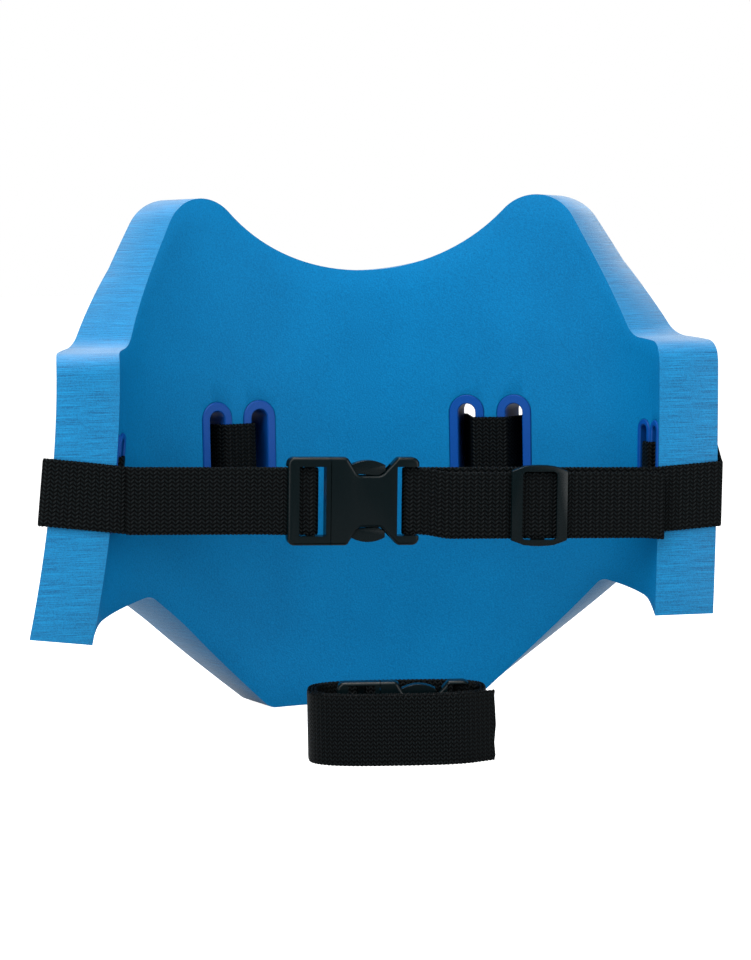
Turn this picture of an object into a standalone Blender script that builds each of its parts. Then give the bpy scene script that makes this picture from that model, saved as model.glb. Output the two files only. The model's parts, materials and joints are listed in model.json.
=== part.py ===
"""Flotation belt for deep-water exercise, with its rolled extension strap.

Frame: +X to the wearer's right as seen from the open front, +Y out of the back of the float, +Z up.
Origin: middle of the float's inner back face, at the height of the middle slots' centres.

The foam float is a flat plate bent round the waist. Its outline is drawn in the flat plate's own
coordinates: s along the plate from the middle, z up, n through the thickness from the inner face.
The front strap, its buckle and its slider share one frame of their own, front_run: u along the strap,
v out of the front, w up, which lies on the two wing ends and is slightly tilted.
"""
import bpy
import bmesh
from bisect import bisect_left
from math import atan2, cos, hypot, pi, radians, sin, sqrt, tan
from mathutils import Matrix, Vector

MM = 0.001

# ---- foam float -------------------------------------------------------------------------------
FOAM_THICKNESS = 35 * MM
BACK_RADIUS = 198 * MM          # inner face across the wearer's back
BACK_ARC_HALF = 144 * MM        # half length of that arc
SIDE_RADIUS = 70 * MM           # inner face round the wearer's sides
WING_STRAIGHT = 0 * MM          # straight length of each wing after the side arc
TONGUE_DEPTH = 153.5 * MM       # slot centre height above the tongue's flat bottom
TONGUE_HALF_WIDTH = 64 * MM
TONGUE_CORNER_RADIUS = 10 * MM
TONGUE_FLANK_ANGLE = radians(43)
ARCH_HEIGHT = -77 * MM          # top of the arch under each wing
ARCH_RADIUS = 9 * MM
WING_BOTTOM = -94 * MM
ARCH_KNEE = 14 * MM             # arc length from a wing's end to where the arch steepens
ARCH_KNEE_DROP = 0.45           # share of the arch's fall before that knee
ARCH_KNEE_RADIUS = 25 * MM
DIP_FLOOR = 108.5 * MM          # lowest point of the top edge's wide dip
DIP_RADIUS = 120.7 * MM
EAR_TOP = 152 * MM
EAR_RADIUS = 27.5 * MM
EAR_FLANK_ANGLE = radians(60)   # slope of the ear's outer side
SHOULDER_HEIGHT = 67.5 * MM     # where the ear's side would meet the shoulder
SHOULDER_SLOPE = radians(6)
SHOULDER_RADIUS = 14 * MM
WING_CORNER_RADIUS = 12 * MM
SPLAY_TOP = 60 * MM             # below this height a wing's lower corner turns sideways
SPLAY_POWER = 1.8
SPLAY_LEFT = 19 * MM            # outward at the wing's lower corner
SPLAY_RIGHT = -4 * MM
SPLAY_ROLL = radians(7)         # the left corner's bottom edge tips down inward
SPLAY_START = 120 * MM          # arc length where that turn begins
COLUMN_STEP = 7 * MM
FLOAT_ROWS = 8

# ---- strap and slots --------------------------------------------------------------------------
WEBBING_WIDTH = 38 * MM
WEBBING_THICKNESS = 1.5 * MM
TOUCH_GAP = 0.3 * MM
SLOT_CLEARANCE = 16 * MM        # room along a slot beside the webbing
SLOT_LENGTH = WEBBING_WIDTH + SLOT_CLEARANCE
SLOT_WIDTH = 10.5 * MM
SLOT_PITCH = 29 * MM            # between the two slots of a pair
BACK_PAIR_CENTRE = 79 * MM      # arc length from the middle to the middle of a back pair
BACK_PAIR_SHIFT = -3.4 * MM      # both back pairs sit this far off centre
WING_SLOT_MARGIN = 8 * MM       # arc length from a wing's end to its last slot's centre
WING_SLOT_PITCH = 13.6 * MM
WING_SLOT_WIDTH = 6.4 * MM
WING_PAIR_Z = -9 * MM
WING_STRAP_Z = -12.5 * MM       # strap centre in the wings' slots
LINER_WALL = 1.3 * MM
LINER_FLANGE = 5.25 * MM        # flange width round the hole
WING_LINER_FLANGE = 3.2 * MM
LINER_FLANGE_THICKNESS = 1.6 * MM
LINER_BED = 1.0 * MM            # depth of the flange's seat in the foam
SLOT_CUT_FRONT = 8 * MM         # how far the slots' cutter stands out of the foam
SLOT_CUT_BACK = 15 * MM
BRIDGE_LIFT = 1.7 * MM          # strap centre above the flanges where it crosses between slots
FOLD_RADIUS = 1.8 * MM          # strap centre line where it turns into a slot
STRAP_BACK_LIFT = 0.9 * MM     # slack between the strap and the float's outer face
WING_WRAP_RADIUS = 2.8 * MM
WING_WRAP_SLACK_LEFT = 6.4 * MM # extra bulge of the strap beside a wing's outer corner
WING_WRAP_SLACK_RIGHT = 2.2 * MM
WING_WRAP_TILT_LEFT = radians(6)
WING_WRAP_TILT_RIGHT = radians(2)

# ---- front run: strap, buckle and slider --------------------------------------------------------
FRONT_Z = -22 * MM              # strap centre at the middle of the front run
FRONT_TILT = radians(1.66)
WING_WRAP_Z_LEFT = -11.5 * MM   # strap centre on each wing's outer corner
WING_WRAP_Z_RIGHT = -24 * MM
FRONT_SPLIT = 150 * MM          # where the front pieces of the strap begin
LEFT_TAIL = -153.5 * MM         # cut end of the strap left of the buckle
RIGHT_TAIL = 156 * MM
LAYER_STEP = WEBBING_THICKNESS + TOUCH_GAP

BUCKLE_SPLIT = -38.7 * MM       # u of the joint between the buckle's halves
BUCKLE_RAIL = 5.3 * MM          # side rail beside the webbing window
BUCKLE_THICKNESS = 11 * MM
BUCKLE_ROUND = 2.0 * MM
BODY_LENGTH = 50.4 * MM
BASE_LENGTH = 24.8 * MM
SPLIT_GAP = 0.4 * MM
PLATE_THICKNESS = 1.4 * MM
MOUTH_WALL_LENGTH = 9.2 * MM
WAIST_INSET = 10.3 * MM         # from the buckle's side to the bottom of its waist
WAIST_START = 15.5 * MM
WAIST_END = 28.5 * MM
WAIST_RETURN = 38.2 * MM
SHOULDER_CORNER = 2.6 * MM      # corner radii of the buckle's front view
WAIST_CORNER = 5 * MM
BUCKLE_CORNER = 4 * MM
MOUTH_TRIM = 4 * MM             # each half is made this much too long, then cut flat at the split
CAVITY_END = 34.5 * MM
BODY_WINDOW_START = 37.6 * MM
BAR_THICKNESS = 3.0 * MM
BODY_BAR_START = 42.6 * MM
BODY_BAR_END = 49.0 * MM
RAIL_GAP = 0.6 * MM             # between the webbing's edge and a bar's side rail
BASE_BLOCK = 3.0 * MM           # solid front of the base between its window and the split
BASE_BAR_START = -13.6 * MM
BASE_BAR_END = -8.4 * MM
OUTER_BAR_END = -18.2 * MM
PLUG_LENGTH = 6.0 * MM
PLUG_INSET = 4.4 * MM
TONGUE_LENGTH = 31 * MM
TONGUE_HALF = 3.2 * MM
ARM_PIVOT_U = 3.4 * MM
ARM_PIVOT_INSET = 9.4 * MM
ARM_ROOT_RADIUS = 2.0 * MM
PAD_INSET = 1.8 * MM            # from the buckle's side to a release pad's crest
PAD_CLEARANCE = 0.35 * MM       # between a pad and the mouth wall it slides past
PAD_START = 11.4 * MM
PAD_END = 31.0 * MM
ARM_CLEARANCE = 0.4 * MM        # above and below an arm in the socket's hollow
ARM_THICKNESS = BUCKLE_THICKNESS - 2 * (PLATE_THICKNESS + ARM_CLEARANCE)

SLIDER_U = 81.7 * MM
SLIDER_LENGTH = 33 * MM
SLIDER_RAIL = 3.65 * MM         # from the webbing's room to the slider's top and bottom
SLIDER_WIDTH = WEBBING_WIDTH + 2 * (RAIL_GAP + SLIDER_RAIL)
SLIDER_BAR = 6.4 * MM           # width of each side bar
SLIDER_FRONT = 2.2 * MM         # thickness of the side bars
SLIDER_BOW = 2.2 * MM           # curve of its top and bottom edges
SLIDER_CORNER = 3.5 * MM        # its slanted corners, along u and along w
SLIDER_CORNER_DROP = 3.4 * MM
SLIDER_WINDOW_CORNER = 2.5 * MM
SLIDER_CENTRE_BAR = 8.0 * MM
SLIDER_CENTRE_THICKNESS = 1.8 * MM
SLIDER_REACH = 34 * MM          # how far the slider can run towards the buckle
SLIDER_REACH_OUT = 46 * MM      # and towards the strap's cut tail
SLIDER_DROP = 2.7 * MM          # the upper layer and the slider hang below the strap's centre
TAIL_DROP = 3.6 * MM

# ---- rolled extension strap ---------------------------------------------------------------------
ROLL_X = -15.9 * MM
ROLL_Y = -187 * MM
ROLL_TURN = radians(-9)
ROLL_HALF_LENGTH = 49.5 * MM
ROLL_HALF_DEPTH = 28 * MM
ROLL_SIDE_PITCH = 1.85 * MM     # layer pitch at the ends and the back
ROLL_FRONT_PITCH = 2.6 * MM  # looser layers across the front
ROLL_FRONT_POWER = 3.2
ROLL_BACK_POWER = 3.2
ROLL_TURNS = 2.87
ROLL_TAIL_ANGLE = radians(-38)  # where the free end leaves the roll
ROLL_TAIL = 11 * MM
ROLL_BUCKLE_RAIL = 1.6 * MM
ROLL_BUCKLE_LIFT = RAIL_GAP + ROLL_BUCKLE_RAIL   # stands on its side rail, as the strap on its edge
ROLL_BUCKLE_SPLIT = -9 * MM
ROLL_BUCKLE_Y = -6 * MM
ROLL_BUCKLE_SCALE = 0.95  # length of its buckle against the belt's
ROLL_STUB = 6 * MM              # sewn end of the strap beyond the buckle's bar

CURVE_STEP = radians(15)


# ---- outline helpers ----------------------------------------------------------------------------
def arc(centre, radius, start, end, step=CURVE_STEP):
    """Points on an arc, both ends included."""
    count = max(2, round(abs(end - start) / step))
    return [(centre[0] + radius * cos(start + (end - start) * i / count),
             centre[1] + radius * sin(start + (end - start) * i / count)) for i in range(count + 1)]


def rounded(corners, closed=True, step=CURVE_STEP):
    """Replace each (x, y, radius) corner with a tangent arc."""
    points = []
    count = len(corners)
    for i, (x, y, radius) in enumerate(corners):
        if radius <= 0 or (not closed and i in (0, count - 1)):
            points.append((x, y))
            continue
        before, after = corners[i - 1], corners[(i + 1) % count]
        u1 = Vector((before[0] - x, before[1] - y)).normalized()
        u2 = Vector((after[0] - x, after[1] - y)).normalized()
        half = u1.angle(u2) / 2
        reach = radius / tan(half)
        bisector = (u1 + u2).normalized()
        centre = (x + bisector.x * radius / sin(half), y + bisector.y * radius / sin(half))
        start = atan2(y + u1.y * reach - centre[1], x + u1.x * reach - centre[0])
        end = atan2(y + u2.y * reach - centre[1], x + u2.x * reach - centre[0])
        turn = (end - start + pi) % (2 * pi) - pi
        points += arc(centre, radius, start, start + turn, step)
    return points


def interpolate(points, s):
    """Height of an outline at s, where its points run along s."""
    keys = [p[0] for p in points]
    i = min(max(bisect_left(keys, s), 1), len(points) - 1)
    (s0, z0), (s1, z1) = points[i - 1], points[i]
    return z0 if s1 == s0 else z0 + (z1 - z0) * (s - s0) / (s1 - s0)


def smoothstep(t):
    t = min(max(t, 0), 1)
    return t * t * (3 - 2 * t)


# ---- the float's bend -----------------------------------------------------------------------------
BACK_TURN = BACK_ARC_HALF / BACK_RADIUS
SIDE_ARC_END = BACK_ARC_HALF + SIDE_RADIUS * (pi / 2 - BACK_TURN)
WING_END = SIDE_ARC_END + WING_STRAIGHT


def plan_frame(s):
    """Point, outward normal and forward tangent of the inner face at arc length s."""
    a = abs(s)
    side = -1 if s < 0 else 1
    x_back, y_back = BACK_RADIUS * sin(BACK_TURN), -BACK_RADIUS * (1 - cos(BACK_TURN))
    if a <= BACK_ARC_HALF:
        turn = a / BACK_RADIUS
        x, y = BACK_RADIUS * sin(turn), -BACK_RADIUS * (1 - cos(turn))
    else:
        turn = min(BACK_TURN + (a - BACK_ARC_HALF) / SIDE_RADIUS, pi / 2)
        x = x_back + SIDE_RADIUS * (sin(turn) - sin(BACK_TURN))
        y = y_back + SIDE_RADIUS * (cos(turn) - cos(BACK_TURN))
        beyond = max(a - SIDE_ARC_END, 0)
        x += beyond * cos(turn)
        y -= beyond * sin(turn)
    point = Vector((side * x, y))
    normal = Vector((side * sin(turn), cos(turn)))
    tangent = Vector((side * cos(turn), -sin(turn)))
    return point, normal, tangent


def on_plan(s, n):
    point, normal, _ = plan_frame(s)
    return point + normal * n


WING_TIP_Y = on_plan(WING_END, 0).y
FRONT_Y = WING_TIP_Y - TOUCH_GAP - WEBBING_THICKNESS / 2 - 0.45 * MM


def splay_share(s, z):
    """How far a place is towards a wing's turned lower corner, from 0 to 1."""
    along = smoothstep((abs(s) - SPLAY_START) / (WING_END - SPLAY_START))
    return (max(SPLAY_TOP - z, 0) / (SPLAY_TOP - WING_BOTTOM)) ** SPLAY_POWER * along


def splay(s, z):
    """Sideways shift of a wing's lower corner."""
    return (-SPLAY_LEFT if s < 0 else SPLAY_RIGHT) * splay_share(s, z)


def bend(s, n, z):
    p = on_plan(s, n)
    tip = (FOAM_THICKNESS - n) * tan(SPLAY_ROLL) * splay_share(s, z) if s < 0 else 0
    return Vector((p.x + splay(s, z), p.y, z - tip))


def top_edge():
    """Upper outline of the right half, from the middle of the dip to the wing's end."""
    dip_centre = (0, DIP_FLOOR + DIP_RADIUS)
    ear_z = EAR_TOP - EAR_RADIUS
    reach = DIP_RADIUS + EAR_RADIUS
    ear_s = sqrt(reach ** 2 - (dip_centre[1] - ear_z) ** 2)
    meet = atan2(ear_z - dip_centre[1], ear_s)
    points = arc(dip_centre, DIP_RADIUS, -pi / 2, meet, radians(5))
    flank = pi / 2 - EAR_FLANK_ANGLE
    points += arc((ear_s, ear_z), EAR_RADIUS, meet + pi, flank, radians(11))[1:]
    start_s, start_z = points[-1]
    corner_s = start_s + (start_z - SHOULDER_HEIGHT) / tan(EAR_FLANK_ANGLE)
    end_z = SHOULDER_HEIGHT - (WING_END - corner_s) * tan(SHOULDER_SLOPE)
    corners = [(start_s, start_z, 0), (corner_s, SHOULDER_HEIGHT, SHOULDER_RADIUS),
               (WING_END, end_z, WING_CORNER_RADIUS), (WING_END, WING_BOTTOM, 0)]
    return points[:-1] + rounded(corners, closed=False, step=radians(11))[:-1]


def bottom_edge():
    """Lower outline of the right half, from the middle of the tongue to the wing's end."""
    bottom = -TONGUE_DEPTH
    corner_s = TONGUE_HALF_WIDTH + (ARCH_HEIGHT - bottom) / tan(TONGUE_FLANK_ANGLE)
    corners = [(0, bottom, 0), (TONGUE_HALF_WIDTH, bottom, TONGUE_CORNER_RADIUS),
               (corner_s, ARCH_HEIGHT, ARCH_RADIUS)]
    knee_z = ARCH_HEIGHT - (ARCH_HEIGHT - WING_BOTTOM) * ARCH_KNEE_DROP
    corners += [(WING_END - ARCH_KNEE, knee_z, ARCH_KNEE_RADIUS), (WING_END, WING_BOTTOM, 0)]
    return rounded(corners, closed=False, step=radians(11))


# ---- mesh helpers ---------------------------------------------------------------------------------
def material(name, colour, roughness, metallic=0.0):
    mat = bpy.data.materials.new(name)
    mat.use_nodes = True
    shader = mat.node_tree.nodes["Principled BSDF"]
    shader.inputs["Base Color"].default_value = (*colour, 1)
    shader.inputs["Roughness"].default_value = roughness
    shader.inputs["Metallic"].default_value = metallic
    return mat


def add_object(name, bm, mat, parent=None, location=(0, 0, 0), smooth=True):
    bmesh.ops.recalc_face_normals(bm, faces=bm.faces)
    mesh = bpy.data.meshes.new(name)
    bm.to_mesh(mesh)
    bm.free()
    if mat:
        mesh.materials.append(mat)
    obj = bpy.data.objects.new(name, mesh)
    obj.location = location
    obj.parent = parent
    bpy.context.scene.collection.objects.link(obj)
    if smooth:
        mesh.shade_smooth()
        mesh.set_sharp_from_angle(angle=radians(30))
    return obj


def empty(name, location, axis_turn):
    obj = bpy.data.objects.new(name, None)
    obj.matrix_world = Matrix.Translation(location) @ axis_turn
    bpy.context.scene.collection.objects.link(obj)
    return obj


def bridge_loops(bm, loops, closed):
    """Skin between loops of vertices; closed joins the last loop to the first, else caps the ends."""
    count = len(loops[0])
    pairs = list(zip(loops, loops[1:] + loops[:1])) if closed else list(zip(loops, loops[1:]))
    for a, b in pairs:
        for i in range(count):
            j = (i + 1) % count
            bm.faces.new((a[i], a[j], b[j], b[i]))
    if not closed:
        bm.faces.new(loops[0][::-1])
        bm.faces.new(loops[-1])


def front_point(u, v, w):
    """A point of the front run's frame as that frame's empty holds it."""
    return Vector((u, -v, w))


def prism(outline, v0, v1, origin=(0, 0, 0)):
    """Solid between two depths v of a (u, w) outline, with its own origin."""
    bm = bmesh.new()
    base = front_point(*origin)
    loops = [[bm.verts.new(front_point(u, v, w) - base) for u, w in outline] for v in (v0, v1)]
    bridge_loops(bm, loops, closed=False)
    return bm


def box_outline(u0, u1, w0, w1):
    return [(u0, w0), (u1, w0), (u1, w1), (u0, w1)]


def cutter(name, bm, parent=None, location=(0, 0, 0)):
    obj = add_object(name, bm, None, parent, location, smooth=False)
    obj.hide_render = True
    obj.display_type = 'WIRE'
    return obj


def cut(obj, tool, operation='DIFFERENCE'):
    mod = obj.modifiers.new(tool.name, 'BOOLEAN')
    mod.operation = operation
    mod.solver = 'EXACT'
    mod.object = tool


def round_edges(obj, width, segments=3, angle=radians(50)):
    mod = obj.modifiers.new("rounding", 'BEVEL')
    mod.width = width
    mod.segments = segments
    mod.limit_method = 'ANGLE'
    mod.angle_limit = angle


def ribbon(points, tilts=None):
    """Closed strip of webbing along (x, y, z) centre points that run in plan."""
    bm = bmesh.new()
    loops = []
    for i, p in enumerate(points):
        before, after = points[max(i - 1, 0)], points[min(i + 1, len(points) - 1)]
        d1 = Vector((p[0] - before[0], p[1] - before[1]))
        d2 = Vector((after[0] - p[0], after[1] - p[1]))
        d1 = d1.normalized() if d1.length else d2.normalized()
        d2 = d2.normalized() if d2.length else d1
        across = (d1 + d2).normalized()
        side = Vector((across.y, -across.x, 0)) / max(across.dot(d1), 0.5)
        tilt = tilts[i] if tilts else 0
        up = Vector((sin(tilt), 0, cos(tilt))) * WEBBING_WIDTH / 2
        out = side * WEBBING_THICKNESS / 2
        centre = Vector(p)
        loops.append([bm.verts.new(centre + a * out + b * up)
                      for a, b in ((1, 1), (1, -1), (-1, -1), (-1, 1))])
    bridge_loops(bm, loops, closed=False)
    return bm


def path_from_corners(corners, step=CURVE_STEP):
    """Points and tilts of a polyline in plan through (x, y, z, radius, tilt) corners, rounded."""
    plan = [(c[0], c[1], c[3]) for c in corners]
    points, tilts = [], []
    for i, (x, y, radius) in enumerate(plan):
        turn = rounded(plan[i - 1:i + 2], closed=False, step=step)[1:-1] if radius > 0 else [(x, y)]
        points += [(*p, corners[i][2]) for p in turn]
        tilts += [corners[i][4]] * len(turn)
    return points, tilts


# ---- float, liners and the strap that weaves through them -------------------------------------------
def half_slots(side):
    """Distance from the middle, height, hole width and flange width of one side's slots."""
    centre = BACK_PAIR_CENTRE + side * BACK_PAIR_SHIFT
    last = WING_END - WING_SLOT_MARGIN
    return [(centre - SLOT_PITCH / 2, 0, SLOT_WIDTH, LINER_FLANGE),
            (centre + SLOT_PITCH / 2, 0, SLOT_WIDTH, LINER_FLANGE),
            (last - WING_SLOT_PITCH, WING_PAIR_Z, WING_SLOT_WIDTH, WING_LINER_FLANGE),
            (last, WING_PAIR_Z, WING_SLOT_WIDTH, WING_LINER_FLANGE)]


def slot_places():
    """Arc length, height, hole width and flange width of every slot, left to right."""
    return [(-s, *rest) for s, *rest in reversed(half_slots(-1))] + half_slots(1)


def slot_frame(s, z):
    """Centre of a slot on the inner face, with its outward, forward and upward directions."""
    point, normal, tangent = plan_frame(s)
    step = 10 * MM
    lean = (splay(s, z + step) - splay(s, z - step)) / (2 * step)
    up = Vector((lean, 0, 1)).normalized()
    centre = Vector((point.x + splay(s, z), point.y, z))
    return centre, Vector((normal.x, normal.y, 0)), Vector((tangent.x, tangent.y, 0)), up


def slot_loop(bm, s, z, radius, n):
    """Vertices of a slot-shaped loop, at depth n of the slot's straight axis."""
    centre, out, forward, up = slot_frame(s, z)
    straight = (SLOT_LENGTH - SLOT_WIDTH) / 2
    loop = []
    for a, h in arc((0, straight), radius, 0, pi, pi / 8) + arc((0, -straight), radius, pi, 2 * pi, pi / 8):
        loop.append(bm.verts.new(centre + forward * a + out * n + up * h))
    return loop


def make_liner(index, s, z, width, flange_width, mat):
    hole = width / 2
    barrel = hole + LINER_WALL
    flange = hole + flange_width
    under = LINER_BED - TOUCH_GAP
    face = under - LINER_FLANGE_THICKNESS
    end = FOAM_THICKNESS - 0.5 * MM
    lip = 0.5 * MM
    profile = [(hole, face + lip), (hole + lip, face), (flange - lip, face), (flange, face + lip),
               (flange, under), (barrel, under), (barrel, end), (hole, end)]
    bm = bmesh.new()
    loops = [slot_loop(bm, s, z, radius, n) for radius, n in profile]
    bridge_loops(bm, loops, closed=True)
    return add_object(f"slot_liner_{index}", bm, mat)


def make_slot_cutter():
    bm = bmesh.new()
    for s, z, width, flange_width in slot_places():
        barrel = width / 2 + LINER_WALL + TOUCH_GAP
        flange = width / 2 + flange_width + TOUCH_GAP
        profile = [(flange, -SLOT_CUT_FRONT), (flange, LINER_BED), (barrel, LINER_BED),
                   (barrel, FOAM_THICKNESS + SLOT_CUT_BACK)]
        bridge_loops(bm, [slot_loop(bm, s, z, radius, n) for radius, n in profile], closed=False)
    return cutter("slot_cutter", bm)


def make_float(mat):
    top, bottom = top_edge(), bottom_edge()
    half = sorted({round(p[0], 6) for p in top + bottom} | {0.0, round(WING_END, 6)})
    columns = [half[0]]
    for s in half[1:]:
        count = max(1, round((s - columns[-1]) / COLUMN_STEP))
        start = columns[-1]
        if s - start < 0.4 * MM:
            continue
        columns += [start + (s - start) * (i + 1) / count for i in range(count)]
    columns[-1] = WING_END
    columns = [-s for s in reversed(columns[1:])] + columns
    bm = bmesh.new()
    loops = []
    for s in columns:
        low, high = interpolate(bottom, abs(s)), interpolate(top, abs(s))
        rows = [low + (high - low) * i / FLOAT_ROWS for i in range(FLOAT_ROWS + 1)]
        inner = [bm.verts.new(bend(s, 0, z)) for z in rows]
        outer = [bm.verts.new(bend(s, FOAM_THICKNESS, z)) for z in reversed(rows)]
        loops.append(inner + outer)
    count = len(loops[0])
    for a, b in zip(loops, loops[1:]):
        for i in range(count):
            j = (i + 1) % count
            bm.faces.new((a[i], a[j], b[j], b[i]))
    for loop in (loops[0], loops[-1]):
        for i in range(count // 2 - 1):
            bm.faces.new((loop[i], loop[i + 1], loop[count - 2 - i], loop[count - 1 - i]))
    obj = add_object("foam_float", bm, mat)
    cut(obj, make_slot_cutter())
    return obj


def weave_corners(side):
    """Corners (x, y, z, radius, tilt) of half the strap, from the middle of the back to its last slot."""
    outside = FOAM_THICKNESS + STRAP_BACK_LIFT + WEBBING_THICKNESS / 2
    bridge = LINER_BED - TOUCH_GAP - LINER_FLANGE_THICKNESS - BRIDGE_LIFT

    def outside_run(s0, z0, s1, z1):
        count = max(2, round((s1 - s0) / COLUMN_STEP))
        run = []
        for i in range(1, count):
            s = s0 + (s1 - s0) * i / count
            z = z0 + (z1 - z0) * smoothstep(i / count)
            p = on_plan(side * s, outside)
            low, high = (splay(side * s, z + edge * WEBBING_WIDTH / 2) for edge in (-1, 1))
            run.append((p.x + (low + high) / 2, p.y, z, 0, atan2(high - low, WEBBING_WIDTH)))
        return run

    slots = half_slots(side)
    corners = outside_run(-0.5 * COLUMN_STEP, 0, slots[0][0] - slots[0][2] / 2 - FOLD_RADIUS, 0)
    for pair, z_strap in ((slots[:2], 0), (slots[2:], WING_STRAP_Z)):
        for (s, z, width, _), inward in zip(pair, (True, False)):
            centre, out, forward, up = slot_frame(side * s, z)
            reach = width / 2 - WEBBING_THICKNESS / 2 - TOUCH_GAP - 0.2 * MM
            ends = (outside, bridge) if inward else (bridge, outside)
            for along, depth in zip((-reach, reach), ends):
                p = centre + forward * along + out * depth + up * (z_strap - z)
                corners.append((p.x, p.y, z_strap, FOLD_RADIUS, atan2(up.x, up.z)))
        if z_strap == 0:
            start = pair[1][0] + pair[1][2] / 2 + FOLD_RADIUS
            end = slots[2][0] - slots[2][2] / 2 - FOLD_RADIUS
            corners += outside_run(start, 0, end, WING_STRAP_Z)
    return corners


def strap_path(side):
    """Half of the strap round the float, from the back's middle to the front split."""
    wrap_z = WING_WRAP_Z_RIGHT if side > 0 else WING_WRAP_Z_LEFT
    wrap_tilt = WING_WRAP_TILT_RIGHT if side > 0 else WING_WRAP_TILT_LEFT
    slack = WING_WRAP_SLACK_RIGHT if side > 0 else WING_WRAP_SLACK_LEFT
    front_z = FRONT_Z - side * FRONT_SPLIT * sin(FRONT_TILT)
    wing_x = on_plan(side * WING_END, FOAM_THICKNESS).x + splay(side * WING_END, wrap_z)
    bulge = wing_x + side * (TOUCH_GAP + WEBBING_THICKNESS / 2 + slack)
    corners = weave_corners(side)
    corners += [(bulge, FRONT_Y, wrap_z, WING_WRAP_RADIUS, wrap_tilt),
                (side * FRONT_SPLIT * cos(FRONT_TILT), FRONT_Y, front_z, 0, FRONT_TILT)]
    return path_from_corners(corners)


def make_strap_main(mat):
    right, right_tilts = strap_path(1)
    left, left_tilts = strap_path(-1)
    points = left[::-1] + right
    tilts = left_tilts[::-1] + right_tilts
    return add_object("strap_main", ribbon(points, tilts), mat)


# ---- front run --------------------------------------------------------------------------------------
UPPER_LAYER = BAR_THICKNESS + 2 * TOUCH_GAP + WEBBING_THICKNESS    # top layer where it folds over a bar
BUCKLE_MID = UPPER_LAYER / 2
SLIDER_LAYER = SLIDER_CENTRE_THICKNESS + 2 * TOUCH_GAP + WEBBING_THICKNESS


def fold_path(fold_u, side, start_u, stations):
    """Strap from start_u, round a bar at fold_u and back through (u, v) stations; side is the fold's way."""
    radius = UPPER_LAYER / 2
    turn = arc((fold_u, radius), radius, -pi / 2, pi / 2, pi / 8)
    points = [(start_u, 0)] + [(fold_u + side * (u - fold_u), v) for u, v in turn] + stations
    return [(u, -v, 0) for u, v in points]


def blend_layer(u0, v0, u1, v1, count=5):
    """Gentle S of the strap's upper layer between two heights."""
    return [(u0 + (u1 - u0) * i / count, v0 + (v1 - v0) * smoothstep(i / count)) for i in range(count + 1)]


def make_front_straps(parent, mat):
    bar = BUCKLE_SPLIT + BASE_BAR_END - BAR_THICKNESS / 2
    base_end = BUCKLE_SPLIT - BASE_LENGTH
    stations = blend_layer(base_end - 1 * MM, UPPER_LAYER, base_end - 16 * MM, LAYER_STEP)
    left = fold_path(bar, 1, -FRONT_SPLIT + TOUCH_GAP, stations + [(LEFT_TAIL, LAYER_STEP)])
    add_object("strap_left", ribbon(left), mat, parent)
    bar = BUCKLE_SPLIT + BODY_BAR_START + BAR_THICKNESS / 2
    body_end = BUCKLE_SPLIT + BODY_LENGTH
    stations = blend_layer(body_end + 1 * MM, UPPER_LAYER, body_end + 9 * MM, SLIDER_LAYER)
    level = SLIDER_U - SLIDER_LENGTH / 2 - SLIDER_REACH
    steps = 6
    sag_start = stations[-1][0]
    stations += [(sag_start + (level - sag_start) * (i + 1) / steps, SLIDER_LAYER) for i in range(steps)]
    level_end = SLIDER_U + SLIDER_LENGTH / 2 + SLIDER_REACH_OUT
    stations += [(level_end, SLIDER_LAYER), (RIGHT_TAIL, SLIDER_LAYER)]
    right = fold_path(bar, -1, FRONT_SPLIT - TOUCH_GAP, stations)
    folded = len(right) - len(stations)
    for i in range(folded, len(right)):
        u, y, _ = right[i]
        right[i] = (u, y, -SLIDER_DROP * smoothstep((u - body_end) / (level - body_end)))
    right[-1] = (*right[-1][:2], -TAIL_DROP)
    add_object("strap_right", ribbon(right), mat, parent)


def body_outline(k, h):
    """Front view of the buckle's socket half: full width at both ends, waisted for the release pads."""
    waist = h - WAIST_INSET
    half = [(-MOUTH_TRIM, h, 0), (MOUTH_WALL_LENGTH * k, h, SHOULDER_CORNER),
            (WAIST_START * k, waist, WAIST_CORNER), (WAIST_END * k, waist, WAIST_CORNER),
            (WAIST_RETURN * k, h, SHOULDER_CORNER), (BODY_LENGTH * k, h, BUCKLE_CORNER)]
    return rounded([(u, -w, r) for u, w, r in half] + [(u, w, r) for u, w, r in reversed(half)])


def bar_solid(u0, u1, v_mid, thickness, half_width):
    """Webbing bar with rounded long edges, lying along w."""
    r = thickness / 2 - 0.01 * MM
    section = rounded([(u0, v_mid - thickness / 2, r), (u1, v_mid - thickness / 2, r),
                       (u1, v_mid + thickness / 2, r), (u0, v_mid + thickness / 2, r)], step=pi / 6)
    bm = bmesh.new()
    loops = [[bm.verts.new(front_point(u, v, w)) for u, v in section] for w in (-half_width, half_width)]
    bridge_loops(bm, loops, closed=False)
    return bm


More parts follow.
